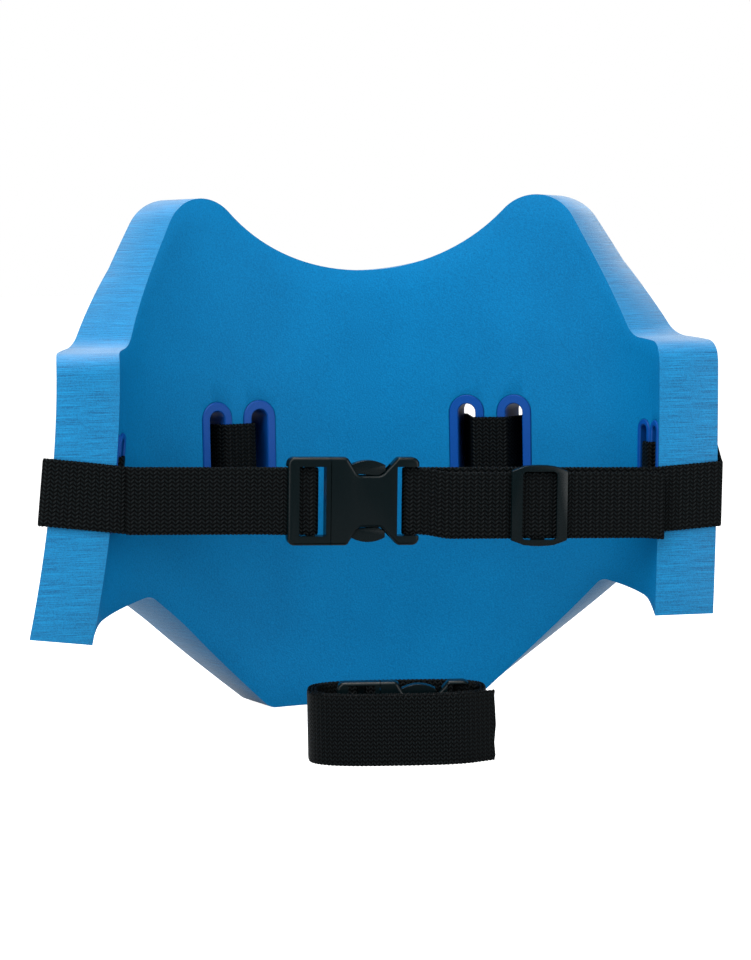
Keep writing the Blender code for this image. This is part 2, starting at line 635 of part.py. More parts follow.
def make_buckle(prefix, parent, k, rail, mat):
    """Side-release buckle whose split is at u = 0 of its parent; k scales its length."""
    half_thick = BUCKLE_THICKNESS / 2
    window_half = WEBBING_WIDTH / 2 + RAIL_GAP
    half_width = window_half + rail
    cavity_half = half_thick - PLATE_THICKNESS
    wall_inner = half_width - PAD_INSET + PAD_CLEARANCE
    far = 20 * MM

    shape = prism(body_outline(k, half_width), -half_thick, half_thick)
    body = add_object(f"{prefix}_socket", shape, mat, parent)
    round_edges(body, BUCKLE_ROUND)
    hollow = prism(box_outline(-far, CAVITY_END * k, -wall_inner, wall_inner), -cavity_half, cavity_half)
    opening = box_outline(BODY_WINDOW_START * k, BODY_LENGTH * k + far, -window_half, window_half)
    window = prism(opening, -far, far)
    mouth = prism(box_outline(-far, 0, -far * 2, far * 2), -far, far)
    for name, shape in (("hollow", hollow), ("window", window), ("mouth", mouth)):
        cut(body, cutter(f"{prefix}_socket_{name}", shape, parent))
    bar = bar_solid(BODY_BAR_START * k, BODY_BAR_END * k, 0, BAR_THICKNESS, window_half + 1 * MM)
    cut(body, cutter(f"{prefix}_socket_bar", bar, parent), 'UNION')

    h = half_width
    outline = rounded([(-BASE_LENGTH * k, -h, BUCKLE_CORNER), (MOUTH_TRIM, -h, 0),
                       (MOUTH_TRIM, h, 0), (-BASE_LENGTH * k, h, BUCKLE_CORNER)])
    base = add_object(f"{prefix}_plug", prism(outline, -half_thick, half_thick), mat, parent)
    round_edges(base, BUCKLE_ROUND)
    window = prism(box_outline(OUTER_BAR_END * k, -BASE_BLOCK * k, -window_half, window_half), -far, far)
    behind = prism(box_outline(-BASE_LENGTH * k - far, -BASE_BLOCK * k, -window_half, window_half),
                   -far, BUCKLE_MID + WEBBING_THICKNESS / 2 + TOUCH_GAP)
    mouth = prism(box_outline(-SPLIT_GAP, far, -far * 2, far * 2), -far, far)
    for name, shape in (("window", window), ("behind", behind), ("mouth", mouth)):
        cut(base, cutter(f"{prefix}_plug_{name}", shape, parent))
    bar = bar_solid(BASE_BAR_START * k, BASE_BAR_END * k, 0, BAR_THICKNESS, window_half + 1 * MM)
    cut(base, cutter(f"{prefix}_plug_bar", bar, parent), 'UNION')
    core = prism(plug_outline(k, half_width), -ARM_THICKNESS / 2, ARM_THICKNESS / 2)
    cut(base, cutter(f"{prefix}_plug_core", core, parent), 'UNION')

    for name, side in (("upper", 1), ("lower", -1)):
        pivot = (ARM_PIVOT_U * k, 0, side * (half_width - ARM_PIVOT_INSET))
        outline = [(u, side * w) for u, w in arm_outline(k, half_width)]
        arm = prism(outline, -ARM_THICKNESS / 2, ARM_THICKNESS / 2, pivot)
        obj = add_object(f"{prefix}_release_{name}", arm, mat, parent, front_point(*pivot))
        round_edges(obj, 0.7 * MM, segments=2)


def plug_outline(k, half_width):
    """Core of the plug half inside the socket: cross block with two hinge seats, and the middle tongue."""
    seat = ARM_ROOT_RADIUS + TOUCH_GAP
    u, w = ARM_PIVOT_U * k, half_width - ARM_PIVOT_INSET
    front = u + (PLUG_LENGTH - ARM_PIVOT_U)
    side = half_width - PLUG_INSET
    upper = [(front, w - seat)] + arc((u, w), seat, -pi / 2, -3 * pi / 2, pi / 8) + [(front, w + seat)]
    half = [(TONGUE_LENGTH * k, TONGUE_HALF - 1 * MM), (TONGUE_LENGTH * k - 1.5 * MM, TONGUE_HALF),
            (front, TONGUE_HALF)] + upper + [(front, side), (-1 * MM, side)]
    return [(u, -w) for u, w in reversed(half)] + half


def arm_outline(k, half_width):
    """Release arm above the middle: round root, thin spring and the crested pad."""
    u, w = ARM_PIVOT_U * k, half_width - ARM_PIVOT_INSET
    crest_w = half_width - PAD_INSET
    root = arc((u, w), ARM_ROOT_RADIUS, radians(50), radians(310), pi / 8)
    crest_u = (PAD_START + PAD_END) / 2 * k
    chord = (PAD_END - PAD_START) / 2 * k
    rise = 2.6 * MM
    radius = (chord ** 2 + rise ** 2) / (2 * rise)
    half_angle = atan2(chord, radius - rise)
    crest = arc((crest_u, crest_w - radius), radius, pi / 2 - half_angle, pi / 2 + half_angle, pi / 40)
    spring = 2.6 * MM
    lower = [((PAD_START + 1 * MM) * k, w + 0.2 * MM), ((PAD_END - 4 * MM) * k, w - 1.0 * MM),
             (PAD_END * k, w + 1.5 * MM)]
    upper = [(PAD_START * k, w + spring + 0.8 * MM)]
    return root + lower + crest + upper


def make_slider(parent, mat):
    """Three-bar slider: side bars in front of the upper layer, middle bar behind it."""
    half_u, half_w = SLIDER_LENGTH / 2, SLIDER_WIDTH / 2
    back = WEBBING_THICKNESS / 2 + TOUCH_GAP
    bar_back = SLIDER_LAYER + WEBBING_THICKNESS / 2 + TOUCH_GAP
    front = bar_back + SLIDER_FRONT
    origin = (SLIDER_U, SLIDER_LAYER, 0)
    place = front_point(SLIDER_U, SLIDER_LAYER, -SLIDER_DROP)
    radius = half_u ** 2 / (2 * SLIDER_BOW)
    ends = arc((0, half_w - SLIDER_BOW - radius), radius + SLIDER_BOW, radians(78), radians(102), radians(4))
    top = [(u, w) for u, w in ends if abs(u) < half_u - SLIDER_CORNER]
    corners = [(half_u, half_w - SLIDER_CORNER_DROP)] + top + [(-half_u, half_w - SLIDER_CORNER_DROP)]
    outline = corners + [(u, -w) for u, w in reversed(corners)]
    shifted = [(u + SLIDER_U, w) for u, w in outline]
    obj = add_object("strap_slider", prism(shifted, back, front, origin), mat, parent, place)
    round_edges(obj, 1.0 * MM, segments=2, angle=radians(40))
    window_half = WEBBING_WIDTH / 2 + RAIL_GAP
    inner = half_u - SLIDER_BAR
    opening = box_outline(SLIDER_U - inner, SLIDER_U + inner, -window_half, window_half)
    opening = rounded([(u, w, SLIDER_WINDOW_CORNER) for u, w in opening])
    behind = box_outline(SLIDER_U - half_u - 5 * MM, SLIDER_U + half_u + 5 * MM, -window_half, window_half)
    cut(obj, cutter("slider_window", prism(opening, back - 5 * MM, front + 5 * MM, origin), parent, place))
    cut(obj, cutter("slider_channel", prism(behind, back - 5 * MM, bar_back, origin), parent, place))
    middle = prism(box_outline(SLIDER_U - SLIDER_CENTRE_BAR / 2, SLIDER_U + SLIDER_CENTRE_BAR / 2,
                               -window_half - 1 * MM, window_half + 1 * MM),
                   back, back + SLIDER_CENTRE_THICKNESS, origin)
    cut(obj, cutter("slider_middle", middle, parent, place), 'UNION')


# ---- rolled extension strap -------------------------------------------------------------------------
def power(value, exponent):
    return (1 if value >= 0 else -1) * abs(value) ** exponent


def roll_point(angle, layers):
    """Centre line of the rolled strap, layers counted from the outermost."""
    length = ROLL_HALF_LENGTH - WEBBING_THICKNESS / 2 - ROLL_SIDE_PITCH * layers
    front = sin(angle) < 0
    pitch = ROLL_FRONT_PITCH if front else ROLL_SIDE_PITCH
    exponent = 2 / (ROLL_FRONT_POWER if front else ROLL_BACK_POWER)
    depth = ROLL_HALF_DEPTH - WEBBING_THICKNESS / 2 - pitch * layers
    return (length * power(cos(angle), exponent), depth * power(sin(angle), exponent))


def roll_path():
    """(x, y, z) centre line of the roll from its sewn end, round the buckle's bar, to its free end."""
    fold = BAR_THICKNESS / 2 + TOUCH_GAP + WEBBING_THICKNESS / 2
    bar_u = ROLL_BUCKLE_SPLIT + BODY_BAR_START * ROLL_BUCKLE_SCALE + BAR_THICKNESS / 2
    turn = arc((bar_u, ROLL_BUCKLE_Y), fold, 3 * pi / 2, pi / 2, pi / 8)
    plan = [(bar_u + ROLL_STUB, ROLL_BUCKLE_Y - fold)] + turn
    first = roll_point(ROLL_TAIL_ANGLE - 2 * pi * ROLL_TURNS, ROLL_TURNS)
    plan += rounded([(*turn[-1], 0), (first[0], turn[-1][1], 4 * MM), (*first, 0)], closed=False)[1:-1]
    count = round(ROLL_TURNS * 44)
    for i in range(count + 1):
        turned = ROLL_TURNS * i / count
        plan.append(roll_point(ROLL_TAIL_ANGLE - 2 * pi * (ROLL_TURNS - turned), ROLL_TURNS - turned))
    (x0, y0), (x1, y1) = plan[-2:]
    length = hypot(x1 - x0, y1 - y0)
    plan.append((x1 + (x1 - x0) / length * ROLL_TAIL, y1 + (y1 - y0) / length * ROLL_TAIL))
    lift = [ROLL_BUCKLE_LIFT * (1 - smoothstep((i - len(turn)) / 20)) for i in range(len(plan))]
    return [(x, y, z) for (x, y), z in zip(plan, lift)]


def make_roll(parent, mat):
    add_object("extension_strap", ribbon(roll_path()), mat, parent)


def main():
    for obj in list(bpy.data.objects):
        bpy.data.objects.remove(obj)
    foam = material("foam", (0.02, 0.25, 0.60), 0.75)
    liner = material("liner", (0.01, 0.09, 0.45), 0.45)
    webbing = material("webbing", (0.012, 0.012, 0.014), 0.8)
    plastic = material("buckle_plastic", (0.02, 0.021, 0.023), 0.5)

    make_float(foam)
    for index, place in enumerate(slot_places(), 1):
        make_liner(index, *place, liner)
    make_strap_main(webbing)

    front = empty("front_run", (0, FRONT_Y, FRONT_Z), Matrix.Rotation(FRONT_TILT, 4, 'Y'))
    make_front_straps(front, webbing)
    buckle = empty("buckle_split", (0, 0, 0), Matrix())
    buckle.parent = front
    buckle.location = front_point(BUCKLE_SPLIT, BUCKLE_MID, 0)
    make_buckle("buckle", buckle, 1.0, BUCKLE_RAIL, plastic)
    make_slider(front, plastic)

    roll_z = -TONGUE_DEPTH + WEBBING_WIDTH / 2
    roll = empty("roll", (ROLL_X, ROLL_Y, roll_z), Matrix.Rotation(ROLL_TURN, 4, 'Z'))
    make_roll(roll, webbing)
    inner = empty("roll_buckle_split", (0, 0, 0), Matrix())
    inner.parent = roll
    inner.location = (ROLL_BUCKLE_SPLIT, ROLL_BUCKLE_Y, ROLL_BUCKLE_LIFT)
    make_buckle("extension_buckle", inner, ROLL_BUCKLE_SCALE, ROLL_BUCKLE_RAIL, plastic)


main()
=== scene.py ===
"""The look of the flotation belt: foam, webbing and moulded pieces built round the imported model.

The object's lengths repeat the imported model's own, in metres and in its frame. Curves have finer
steps here, and edges are rounded.
"""

import bpy
import bmesh
import json
from bisect import bisect_left
from math import atan2, cos, hypot, pi, radians, sin, sqrt, tan
from mathutils import Matrix, Vector

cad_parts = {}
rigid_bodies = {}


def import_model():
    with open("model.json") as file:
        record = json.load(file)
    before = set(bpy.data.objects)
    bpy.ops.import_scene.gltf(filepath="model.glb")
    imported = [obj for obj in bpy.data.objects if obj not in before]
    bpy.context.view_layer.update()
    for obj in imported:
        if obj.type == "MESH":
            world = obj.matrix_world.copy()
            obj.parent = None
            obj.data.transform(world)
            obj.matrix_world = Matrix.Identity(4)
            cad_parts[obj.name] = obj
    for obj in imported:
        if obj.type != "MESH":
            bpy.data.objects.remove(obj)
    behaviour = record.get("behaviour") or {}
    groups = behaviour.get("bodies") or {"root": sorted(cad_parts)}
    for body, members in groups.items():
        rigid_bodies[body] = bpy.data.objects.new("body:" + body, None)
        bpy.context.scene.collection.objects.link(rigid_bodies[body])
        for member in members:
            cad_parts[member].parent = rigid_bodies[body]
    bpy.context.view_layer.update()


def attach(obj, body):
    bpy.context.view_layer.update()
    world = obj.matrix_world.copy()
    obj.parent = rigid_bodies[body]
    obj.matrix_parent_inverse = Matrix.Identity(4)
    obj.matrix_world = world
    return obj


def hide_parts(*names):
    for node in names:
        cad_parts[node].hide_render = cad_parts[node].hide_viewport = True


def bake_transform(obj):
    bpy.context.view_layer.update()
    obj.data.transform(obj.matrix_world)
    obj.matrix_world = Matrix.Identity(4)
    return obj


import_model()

MM = 0.001

# ---- foam float ----
FOAM_THICKNESS = 35 * MM
BACK_RADIUS = 198 * MM  # inner face across the wearer's back
BACK_ARC_HALF = 144 * MM  # half length of that arc
SIDE_RADIUS = 70 * MM  # inner face round the wearer's sides
TONGUE_DEPTH = 153.5 * MM  # slot centre height above the tongue's flat bottom
TONGUE_HALF_WIDTH = 64 * MM
TONGUE_CORNER_RADIUS = 10 * MM
TONGUE_FLANK_ANGLE = radians(43)
ARCH_HEIGHT = -77 * MM  # top of the arch under each wing
ARCH_RADIUS = 9 * MM
WING_BOTTOM = -94 * MM
ARCH_KNEE = 14 * MM  # arc length from a wing's end to where the arch steepens
ARCH_KNEE_DROP = 0.45  # share of the arch's fall before that knee
ARCH_KNEE_RADIUS = 25 * MM
DIP_FLOOR = 108.5 * MM  # lowest point of the top edge's wide dip
DIP_RADIUS = 120.7 * MM
EAR_TOP = 152 * MM
EAR_RADIUS = 27.5 * MM
EAR_FLANK_ANGLE = radians(60)  # slope of the ear's outer side
SHOULDER_HEIGHT = 67.5 * MM  # where the ear's side would meet the shoulder
SHOULDER_SLOPE = radians(6)
SHOULDER_RADIUS = 14 * MM
WING_CORNER_RADIUS = 12 * MM
SPLAY_TOP = 60 * MM  # below this height a wing's lower corner turns sideways
SPLAY_POWER = 1.8
SPLAY_LEFT = 19 * MM  # outward at the wing's lower corner
SPLAY_RIGHT = -4 * MM
SPLAY_ROLL = radians(7)  # the left corner's bottom edge tips down inward
SPLAY_START = 120 * MM  # arc length where that turn begins
COLUMN_STEP = 3 * MM
FLOAT_ROWS = 16

# ---- strap and slots ----
WEBBING_WIDTH = 38 * MM
WEBBING_THICKNESS = 1.5 * MM
TOUCH_GAP = 0.3 * MM
SLOT_CLEARANCE = 16 * MM  # room along a slot beside the webbing
SLOT_LENGTH = WEBBING_WIDTH + SLOT_CLEARANCE
SLOT_WIDTH = 10.5 * MM
SLOT_PITCH = 29 * MM  # between the two slots of a pair
BACK_PAIR_CENTRE = 79 * MM  # arc length from the middle to the middle of a back pair
BACK_PAIR_SHIFT = -3.4 * MM  # both back pairs sit this far off centre
WING_SLOT_MARGIN = 8 * MM  # arc length from a wing's end to its last slot's centre
WING_SLOT_PITCH = 13.6 * MM
WING_SLOT_WIDTH = 6.4 * MM
WING_PAIR_Z = -9 * MM
WING_STRAP_Z = -12.5 * MM  # strap centre in the wings' slots
LINER_WALL = 1.3 * MM
LINER_FLANGE = 5.25 * MM  # flange width round the hole
WING_LINER_FLANGE = 3.2 * MM
LINER_FLANGE_THICKNESS = 1.6 * MM
LINER_BED = 1.0 * MM  # depth of the flange's seat in the foam
LINER_LIP = 0.5 * MM  # bevel of the flange's edges
LINER_END_INSET = 0.5 * MM  # from the foam's outer face to the barrel's end
SLOT_CUT_FRONT = 8 * MM  # how far the slots' cutter stands out of the foam
SLOT_CUT_BACK = 15 * MM
SLOT_EDGE_GAP = 0.2 * MM  # room between the strap and a slot's end wall, beyond the touch gap
BRIDGE_LIFT = 1.7 * MM  # strap centre above the flanges where it crosses between slots
FOLD_RADIUS = 1.8 * MM  # strap centre line where it turns into a slot
STRAP_BACK_LIFT = 0.9 * MM  # slack between the strap and the float's outer face
WING_WRAP_RADIUS = 2.8 * MM
WING_WRAP_SLACK_LEFT = 6.4 * MM # extra bulge of the strap beside a wing's outer corner
WING_WRAP_SLACK_RIGHT = 2.2 * MM
WING_WRAP_TILT_LEFT = radians(6)
WING_WRAP_TILT_RIGHT = radians(2)

# ---- front run: strap, buckle and slider ----
FRONT_Z = -22 * MM  # strap centre at the middle of the front run
FRONT_TILT = radians(1.66)
WING_WRAP_Z_LEFT = -11.5 * MM  # strap centre on each wing's outer corner
WING_WRAP_Z_RIGHT = -24 * MM
FRONT_SPLIT = 150 * MM  # where the front pieces of the strap begin
FRONT_SLACK = 0.45 * MM  # between the wings' tips and the front run, beyond the touch gap
LEFT_TAIL = -153.5 * MM  # cut end of the strap left of the buckle
RIGHT_TAIL = 156 * MM
LAYER_STEP = WEBBING_THICKNESS + TOUCH_GAP
BLEND_START = 1 * MM  # from the buckle's end to where the upper layer changes depth
LEFT_BLEND_END = 16 * MM
RIGHT_BLEND_END = 9 * MM
SAG_STEPS = 6  # points of the right strap's sag

BUCKLE_SPLIT = -38.7 * MM  # u of the joint between the buckle's halves
BUCKLE_RAIL = 5.3 * MM  # side rail beside the webbing window
BUCKLE_THICKNESS = 11 * MM
BUCKLE_ROUND = 2.0 * MM
BODY_LENGTH = 50.4 * MM
BASE_LENGTH = 24.8 * MM
SPLIT_GAP = 0.4 * MM
PLATE_THICKNESS = 1.4 * MM
MOUTH_WALL_LENGTH = 9.2 * MM
WAIST_INSET = 10.3 * MM  # from the buckle's side to the bottom of its waist
WAIST_START = 15.5 * MM
WAIST_END = 28.5 * MM
WAIST_RETURN = 38.2 * MM
SHOULDER_CORNER = 2.6 * MM  # corner radii of the buckle's front view
WAIST_CORNER = 5 * MM
BUCKLE_CORNER = 4 * MM
MOUTH_TRIM = 4 * MM  # each half is made this much too long, then cut flat at the split
CAVITY_END = 34.5 * MM
BODY_WINDOW_START = 37.6 * MM
BAR_THICKNESS = 3.0 * MM
BODY_BAR_START = 42.6 * MM
BODY_BAR_END = 49.0 * MM
BAR_ROOT = 1 * MM  # a bar's reach into its side rails
RAIL_GAP = 0.6 * MM  # between the webbing's edge and a bar's side rail
BASE_BLOCK = 3.0 * MM  # solid front of the base between its window and the split
BASE_BAR_START = -13.6 * MM
BASE_BAR_END = -8.4 * MM
OUTER_BAR_END = -18.2 * MM
PLUG_LENGTH = 6.0 * MM
PLUG_INSET = 4.4 * MM
TONGUE_LENGTH = 31 * MM
TONGUE_HALF = 3.2 * MM
ARM_PIVOT_U = 3.4 * MM
ARM_PIVOT_INSET = 9.4 * MM
ARM_ROOT_RADIUS = 2.0 * MM
PAD_INSET = 1.8 * MM  # from the buckle's side to a release pad's crest
PAD_CLEARANCE = 0.35 * MM  # between a pad and the mouth wall it slides past
PAD_START = 11.4 * MM
PAD_END = 31.0 * MM
PAD_RISE = 2.6 * MM  # height of a pad's crest over its ends
SPRING_THICKNESS = 2.6 * MM
ARM_CLEARANCE = 0.4 * MM  # above and below an arm in the socket's hollow
ARM_THICKNESS = BUCKLE_THICKNESS - 2 * (PLATE_THICKNESS + ARM_CLEARANCE)
ARM_ROUND = 0.7 * MM

SLIDER_U = 81.7 * MM
SLIDER_LENGTH = 33 * MM
SLIDER_RAIL = 3.65 * MM  # from the webbing's room to the slider's top and bottom
SLIDER_WIDTH = WEBBING_WIDTH + 2 * (RAIL_GAP + SLIDER_RAIL)
SLIDER_BAR = 6.4 * MM  # width of each side bar
SLIDER_FRONT = 2.2 * MM  # thickness of the side bars
SLIDER_BOW = 2.2 * MM  # curve of its top and bottom edges
SLIDER_CORNER = 3.5 * MM  # its slanted corners, along u and along w
SLIDER_CORNER_DROP = 3.4 * MM
SLIDER_WINDOW_CORNER = 2.5 * MM
SLIDER_ROUND = 1.0 * MM
SLIDER_CENTRE_BAR = 8.0 * MM
SLIDER_CENTRE_THICKNESS = 1.8 * MM
SLIDER_REACH = 34 * MM  # how far the slider can run towards the buckle
SLIDER_REACH_OUT = 46 * MM  # and towards the strap's cut tail
SLIDER_DROP = 2.7 * MM  # the upper layer and the slider hang below the strap's centre
TAIL_DROP = 3.6 * MM

# ---- rolled extension strap ----
ROLL_X = -15.9 * MM
ROLL_Y = -187 * MM
ROLL_TURN = radians(-9)
ROLL_HALF_LENGTH = 49.5 * MM
ROLL_HALF_DEPTH = 28 * MM
ROLL_SIDE_PITCH = 1.85 * MM  # layer pitch at the ends and the back
ROLL_FRONT_PITCH = 2.6 * MM  # looser layers across the front
ROLL_FRONT_POWER = 3.2
ROLL_BACK_POWER = 3.2
ROLL_TURNS = 2.87
ROLL_TURN_STEPS = 44
ROLL_TAIL_ANGLE = radians(-38)  # where the free end leaves the roll
ROLL_TAIL = 11 * MM
ROLL_BUCKLE_RAIL = 1.6 * MM
ROLL_BUCKLE_LIFT = RAIL_GAP + ROLL_BUCKLE_RAIL  # stands on its side rail, as the strap on its edge
ROLL_BUCKLE_SPLIT = -9 * MM
ROLL_BUCKLE_Y = -6 * MM
ROLL_BUCKLE_SCALE = 0.95  # length of its buckle against the belt's
ROLL_STUB = 6 * MM  # sewn end of the strap beyond the buckle's bar
ROLL_ENTRY_RADIUS = 4 * MM  # where the strap turns from the buckle's bar into the roll
ROLL_LIFT_POINTS = 20  # points over which it comes down from the bar to the floor

CURVE_STEP = radians(6)
WEBBING_STEP = 0.8 * MM
WEBBING_SMOOTHING = 3
WEAVE_ARM = 2.1 * MM  # width of one leg of the herringbone, along the webbing
WEAVE_ROW = 2.3 * MM  # spacing of its rows, across the webbing
SELVEDGE_TOOTH = 0.2 * MM
FRAY = 0.8 * MM
FOAM_EDGE = 0.8 * MM  # rounding of the foam's cut edges
FINE_STEP = radians(9)
OUTLINE_STEP = radians(4)
MESH_SHARP = radians(30)  # a steeper angle is a hard edge while a piece is made
FINAL_SHARP = radians(32)  # and in its final mesh

# ---- colours and textures ----
SKIN_DARK, SKIN_LIGHT = (0.0005, 0.086, 0.215), (0.001, 0.128, 0.305)
CUT_DARK, CUT_LIGHT = (0.0, 0.062, 0.16), (0.001, 0.165, 0.365)
# webbing colours: painted shade for the weave's grooves, painted highlight for its yarn crests
WEB_GROOVE_SHADE, WEB_CREST_HIGHLIGHT = (0.0, 0.0001, 0.0002), (0.0045, 0.0068, 0.0076)
PLASTIC_DARK, PLASTIC_LIGHT = (0.0002, 0.002, 0.0026), (0.001, 0.0042, 0.0052)
LINER_DARK, LINER_LIGHT = (0.0, 0.036, 0.185), (0.001, 0.048, 0.225)
SKIN_GRAIN, SKIN_CLOUD = 1100.0, 22.0  # noise scales, per metre
CUT_GRAIN = 1500.0
SAW_FINE, SAW_BROAD = 2500.0, 420.0
SAW_STRETCH = 0.02  # scale of the saw lines through the foam against along its edge
PLASTIC_GRAIN = 2600.0
YARN_SLANT = 0.75  # rows that a yarn climbs over one leg of the herringbone
SEAM_POWER = 0.55  # sharpness of the groove between the legs
ROLL_ARM_SHARE = 0.7  # the extension strap's weave against the belt's
ROLL_ROW_SHARE = 0.95

# ---- camera and stage ----
CAMERA_PLACE = Vector((-0.25966, -1.59763, 0.11235))
CAMERA_LENS = 100.46
CAMERA_SENSOR = 36
CAMERA_YAW, CAMERA_PITCH, CAMERA_ROLL = radians(9.41), radians(4.62), radians(-0.96)
FLOOR_GAP = 0.2 * MM  # between the floor and the tongue's flat bottom
FLOOR_SIDE, FLOOR_NEAR, FLOOR_FAR = 14, -4, 24
WORLD_LIGHT = 0.38


# ---- outline helpers ----
def arc(centre, radius, start, end, step=CURVE_STEP):
    """Points on an arc, both ends included."""
    count = max(2, round(abs(end - start) / step))
    angles = [start + (end - start) * i / count for i in range(count + 1)]
    return [(centre[0] + radius * cos(a), centre[1] + radius * sin(a)) for a in angles]


def rounded(corners, closed=True, step=CURVE_STEP):
    """Replace each (x, y, radius) corner with a tangent arc."""
    points = []
    count = len(corners)
    for i, (x, y, radius) in enumerate(corners):
        if radius <= 0 or (not closed and i in (0, count - 1)):
            points.append((x, y))
            continue
        before, after = corners[i - 1], corners[(i + 1) % count]
        u1 = Vector((before[0] - x, before[1] - y)).normalized()
        u2 = Vector((after[0] - x, after[1] - y)).normalized()
        half = u1.angle(u2) / 2
        reach = radius / tan(half)
        bisector = (u1 + u2).normalized()
        centre = (x + bisector.x * radius / sin(half), y + bisector.y * radius / sin(half))
        start = atan2(y + u1.y * reach - centre[1], x + u1.x * reach - centre[0])
        end = atan2(y + u2.y * reach - centre[1], x + u2.x * reach - centre[0])
        turn = (end - start + pi) % (2 * pi) - pi
        points += arc(centre, radius, start, start + turn, step)
    return points


def interpolate(points, s):
    """Height of an outline at s, where its points run along s."""
    keys = [p[0] for p in points]
    i = min(max(bisect_left(keys, s), 1), len(points) - 1)
    (s0, z0), (s1, z1) = points[i - 1], points[i]
    return z0 if s1 == s0 else z0 + (z1 - z0) * (s - s0) / (s1 - s0)


def smoothstep(t):
    t = min(max(t, 0), 1)
    return t * t * (3 - 2 * t)


# ---- the float's bend ----
BACK_TURN = BACK_ARC_HALF / BACK_RADIUS
WING_END = BACK_ARC_HALF + SIDE_RADIUS * (pi / 2 - BACK_TURN)


def plan_frame(s):
    """Point, outward normal and forward tangent of the inner face at arc length s."""
    a = abs(s)
    side = -1 if s < 0 else 1
    x_back, y_back = BACK_RADIUS * sin(BACK_TURN), -BACK_RADIUS * (1 - cos(BACK_TURN))
    if a <= BACK_ARC_HALF:
        turn = a / BACK_RADIUS
        x, y = BACK_RADIUS * sin(turn), -BACK_RADIUS * (1 - cos(turn))
    else:
        turn = min(BACK_TURN + (a - BACK_ARC_HALF) / SIDE_RADIUS, pi / 2)
        x = x_back + SIDE_RADIUS * (sin(turn) - sin(BACK_TURN))
        y = y_back + SIDE_RADIUS * (cos(turn) - cos(BACK_TURN))
    point = Vector((side * x, y))
    normal = Vector((side * sin(turn), cos(turn)))
    tangent = Vector((side * cos(turn), -sin(turn)))
    return point, normal, tangent


def on_plan(s, n):
    point, normal, _ = plan_frame(s)
    return point + normal * n


WING_TIP_Y = on_plan(WING_END, 0).y
FRONT_Y = WING_TIP_Y - TOUCH_GAP - WEBBING_THICKNESS / 2 - FRONT_SLACK


def splay_share(s, z):
    """How far a place is towards a wing's turned lower corner, from 0 to 1."""
    along = smoothstep((abs(s) - SPLAY_START) / (WING_END - SPLAY_START))
    return (max(SPLAY_TOP - z, 0) / (SPLAY_TOP - WING_BOTTOM)) ** SPLAY_POWER * along


def splay(s, z):
    """Sideways shift of a wing's lower corner."""
    return (-SPLAY_LEFT if s < 0 else SPLAY_RIGHT) * splay_share(s, z)


def bend(s, n, z):
    p = on_plan(s, n)
    tip = (FOAM_THICKNESS - n) * tan(SPLAY_ROLL) * splay_share(s, z) if s < 0 else 0
    return Vector((p.x + splay(s, z), p.y, z - tip))


def top_edge():
    """Upper outline of the right half, from the middle of the dip to the wing's end."""
    dip_centre = (0, DIP_FLOOR + DIP_RADIUS)
    ear_z = EAR_TOP - EAR_RADIUS
    reach = DIP_RADIUS + EAR_RADIUS
    ear_s = sqrt(reach ** 2 - (dip_centre[1] - ear_z) ** 2)
    meet = atan2(ear_z - dip_centre[1], ear_s)
    points = arc(dip_centre, DIP_RADIUS, -pi / 2, meet, radians(2.5))
    flank = pi / 2 - EAR_FLANK_ANGLE
    points += arc((ear_s, ear_z), EAR_RADIUS, meet + pi, flank, OUTLINE_STEP)[1:]
    start_s, start_z = points[-1]
    corner_s = start_s + (start_z - SHOULDER_HEIGHT) / tan(EAR_FLANK_ANGLE)
    end_z = SHOULDER_HEIGHT - (WING_END - corner_s) * tan(SHOULDER_SLOPE)
    corners = [(start_s, start_z, 0), (corner_s, SHOULDER_HEIGHT, SHOULDER_RADIUS),
               (WING_END, end_z, WING_CORNER_RADIUS), (WING_END, WING_BOTTOM, 0)]
    return points[:-1] + rounded(corners, closed=False, step=OUTLINE_STEP)[:-1]


def bottom_edge():
    """Lower outline of the right half, from the middle of the tongue to the wing's end."""
    bottom = -TONGUE_DEPTH
    corner_s = TONGUE_HALF_WIDTH + (ARCH_HEIGHT - bottom) / tan(TONGUE_FLANK_ANGLE)
    corners = [(0, bottom, 0), (TONGUE_HALF_WIDTH, bottom, TONGUE_CORNER_RADIUS),
               (corner_s, ARCH_HEIGHT, ARCH_RADIUS)]
    knee_z = ARCH_HEIGHT - (ARCH_HEIGHT - WING_BOTTOM) * ARCH_KNEE_DROP
    corners += [(WING_END - ARCH_KNEE, knee_z, ARCH_KNEE_RADIUS), (WING_END, WING_BOTTOM, 0)]
    return rounded(corners, closed=False, step=OUTLINE_STEP)


# ---- mesh helpers ----
def add_object(name, bm, mat, parent=None, location=(0, 0, 0), smooth=True):
    bmesh.ops.recalc_face_normals(bm, faces=bm.faces)
    mesh = bpy.data.meshes.new(name)
    bm.to_mesh(mesh)
    bm.free()
    if mat:
        mesh.materials.append(mat)
    obj = bpy.data.objects.new(name, mesh)
    obj.location = location
    obj.parent = parent
    bpy.context.scene.collection.objects.link(obj)
    if smooth:
        mesh.shade_smooth()
        mesh.set_sharp_from_angle(angle=MESH_SHARP)
    return obj


def empty(name, location, axis_turn):
    obj = bpy.data.objects.new(name, None)
    obj.matrix_world = Matrix.Translation(location) @ axis_turn
    bpy.context.scene.collection.objects.link(obj)
    return obj


def bridge_loops(bm, loops, closed):
    """Skin between loops of vertices; closed joins the last loop to the first, else caps the ends."""
    count = len(loops[0])
    pairs = list(zip(loops, loops[1:] + loops[:1])) if closed else list(zip(loops, loops[1:]))
    for a, b in pairs:
        for i in range(count):
            j = (i + 1) % count
            bm.faces.new((a[i], a[j], b[j], b[i]))
    if not closed:
        bm.faces.new(loops[0][::-1])
        bm.faces.new(loops[-1])


def front_point(u, v, w):
    """A point of the front run's frame as that frame's empty holds it."""
    return Vector((u, -v, w))


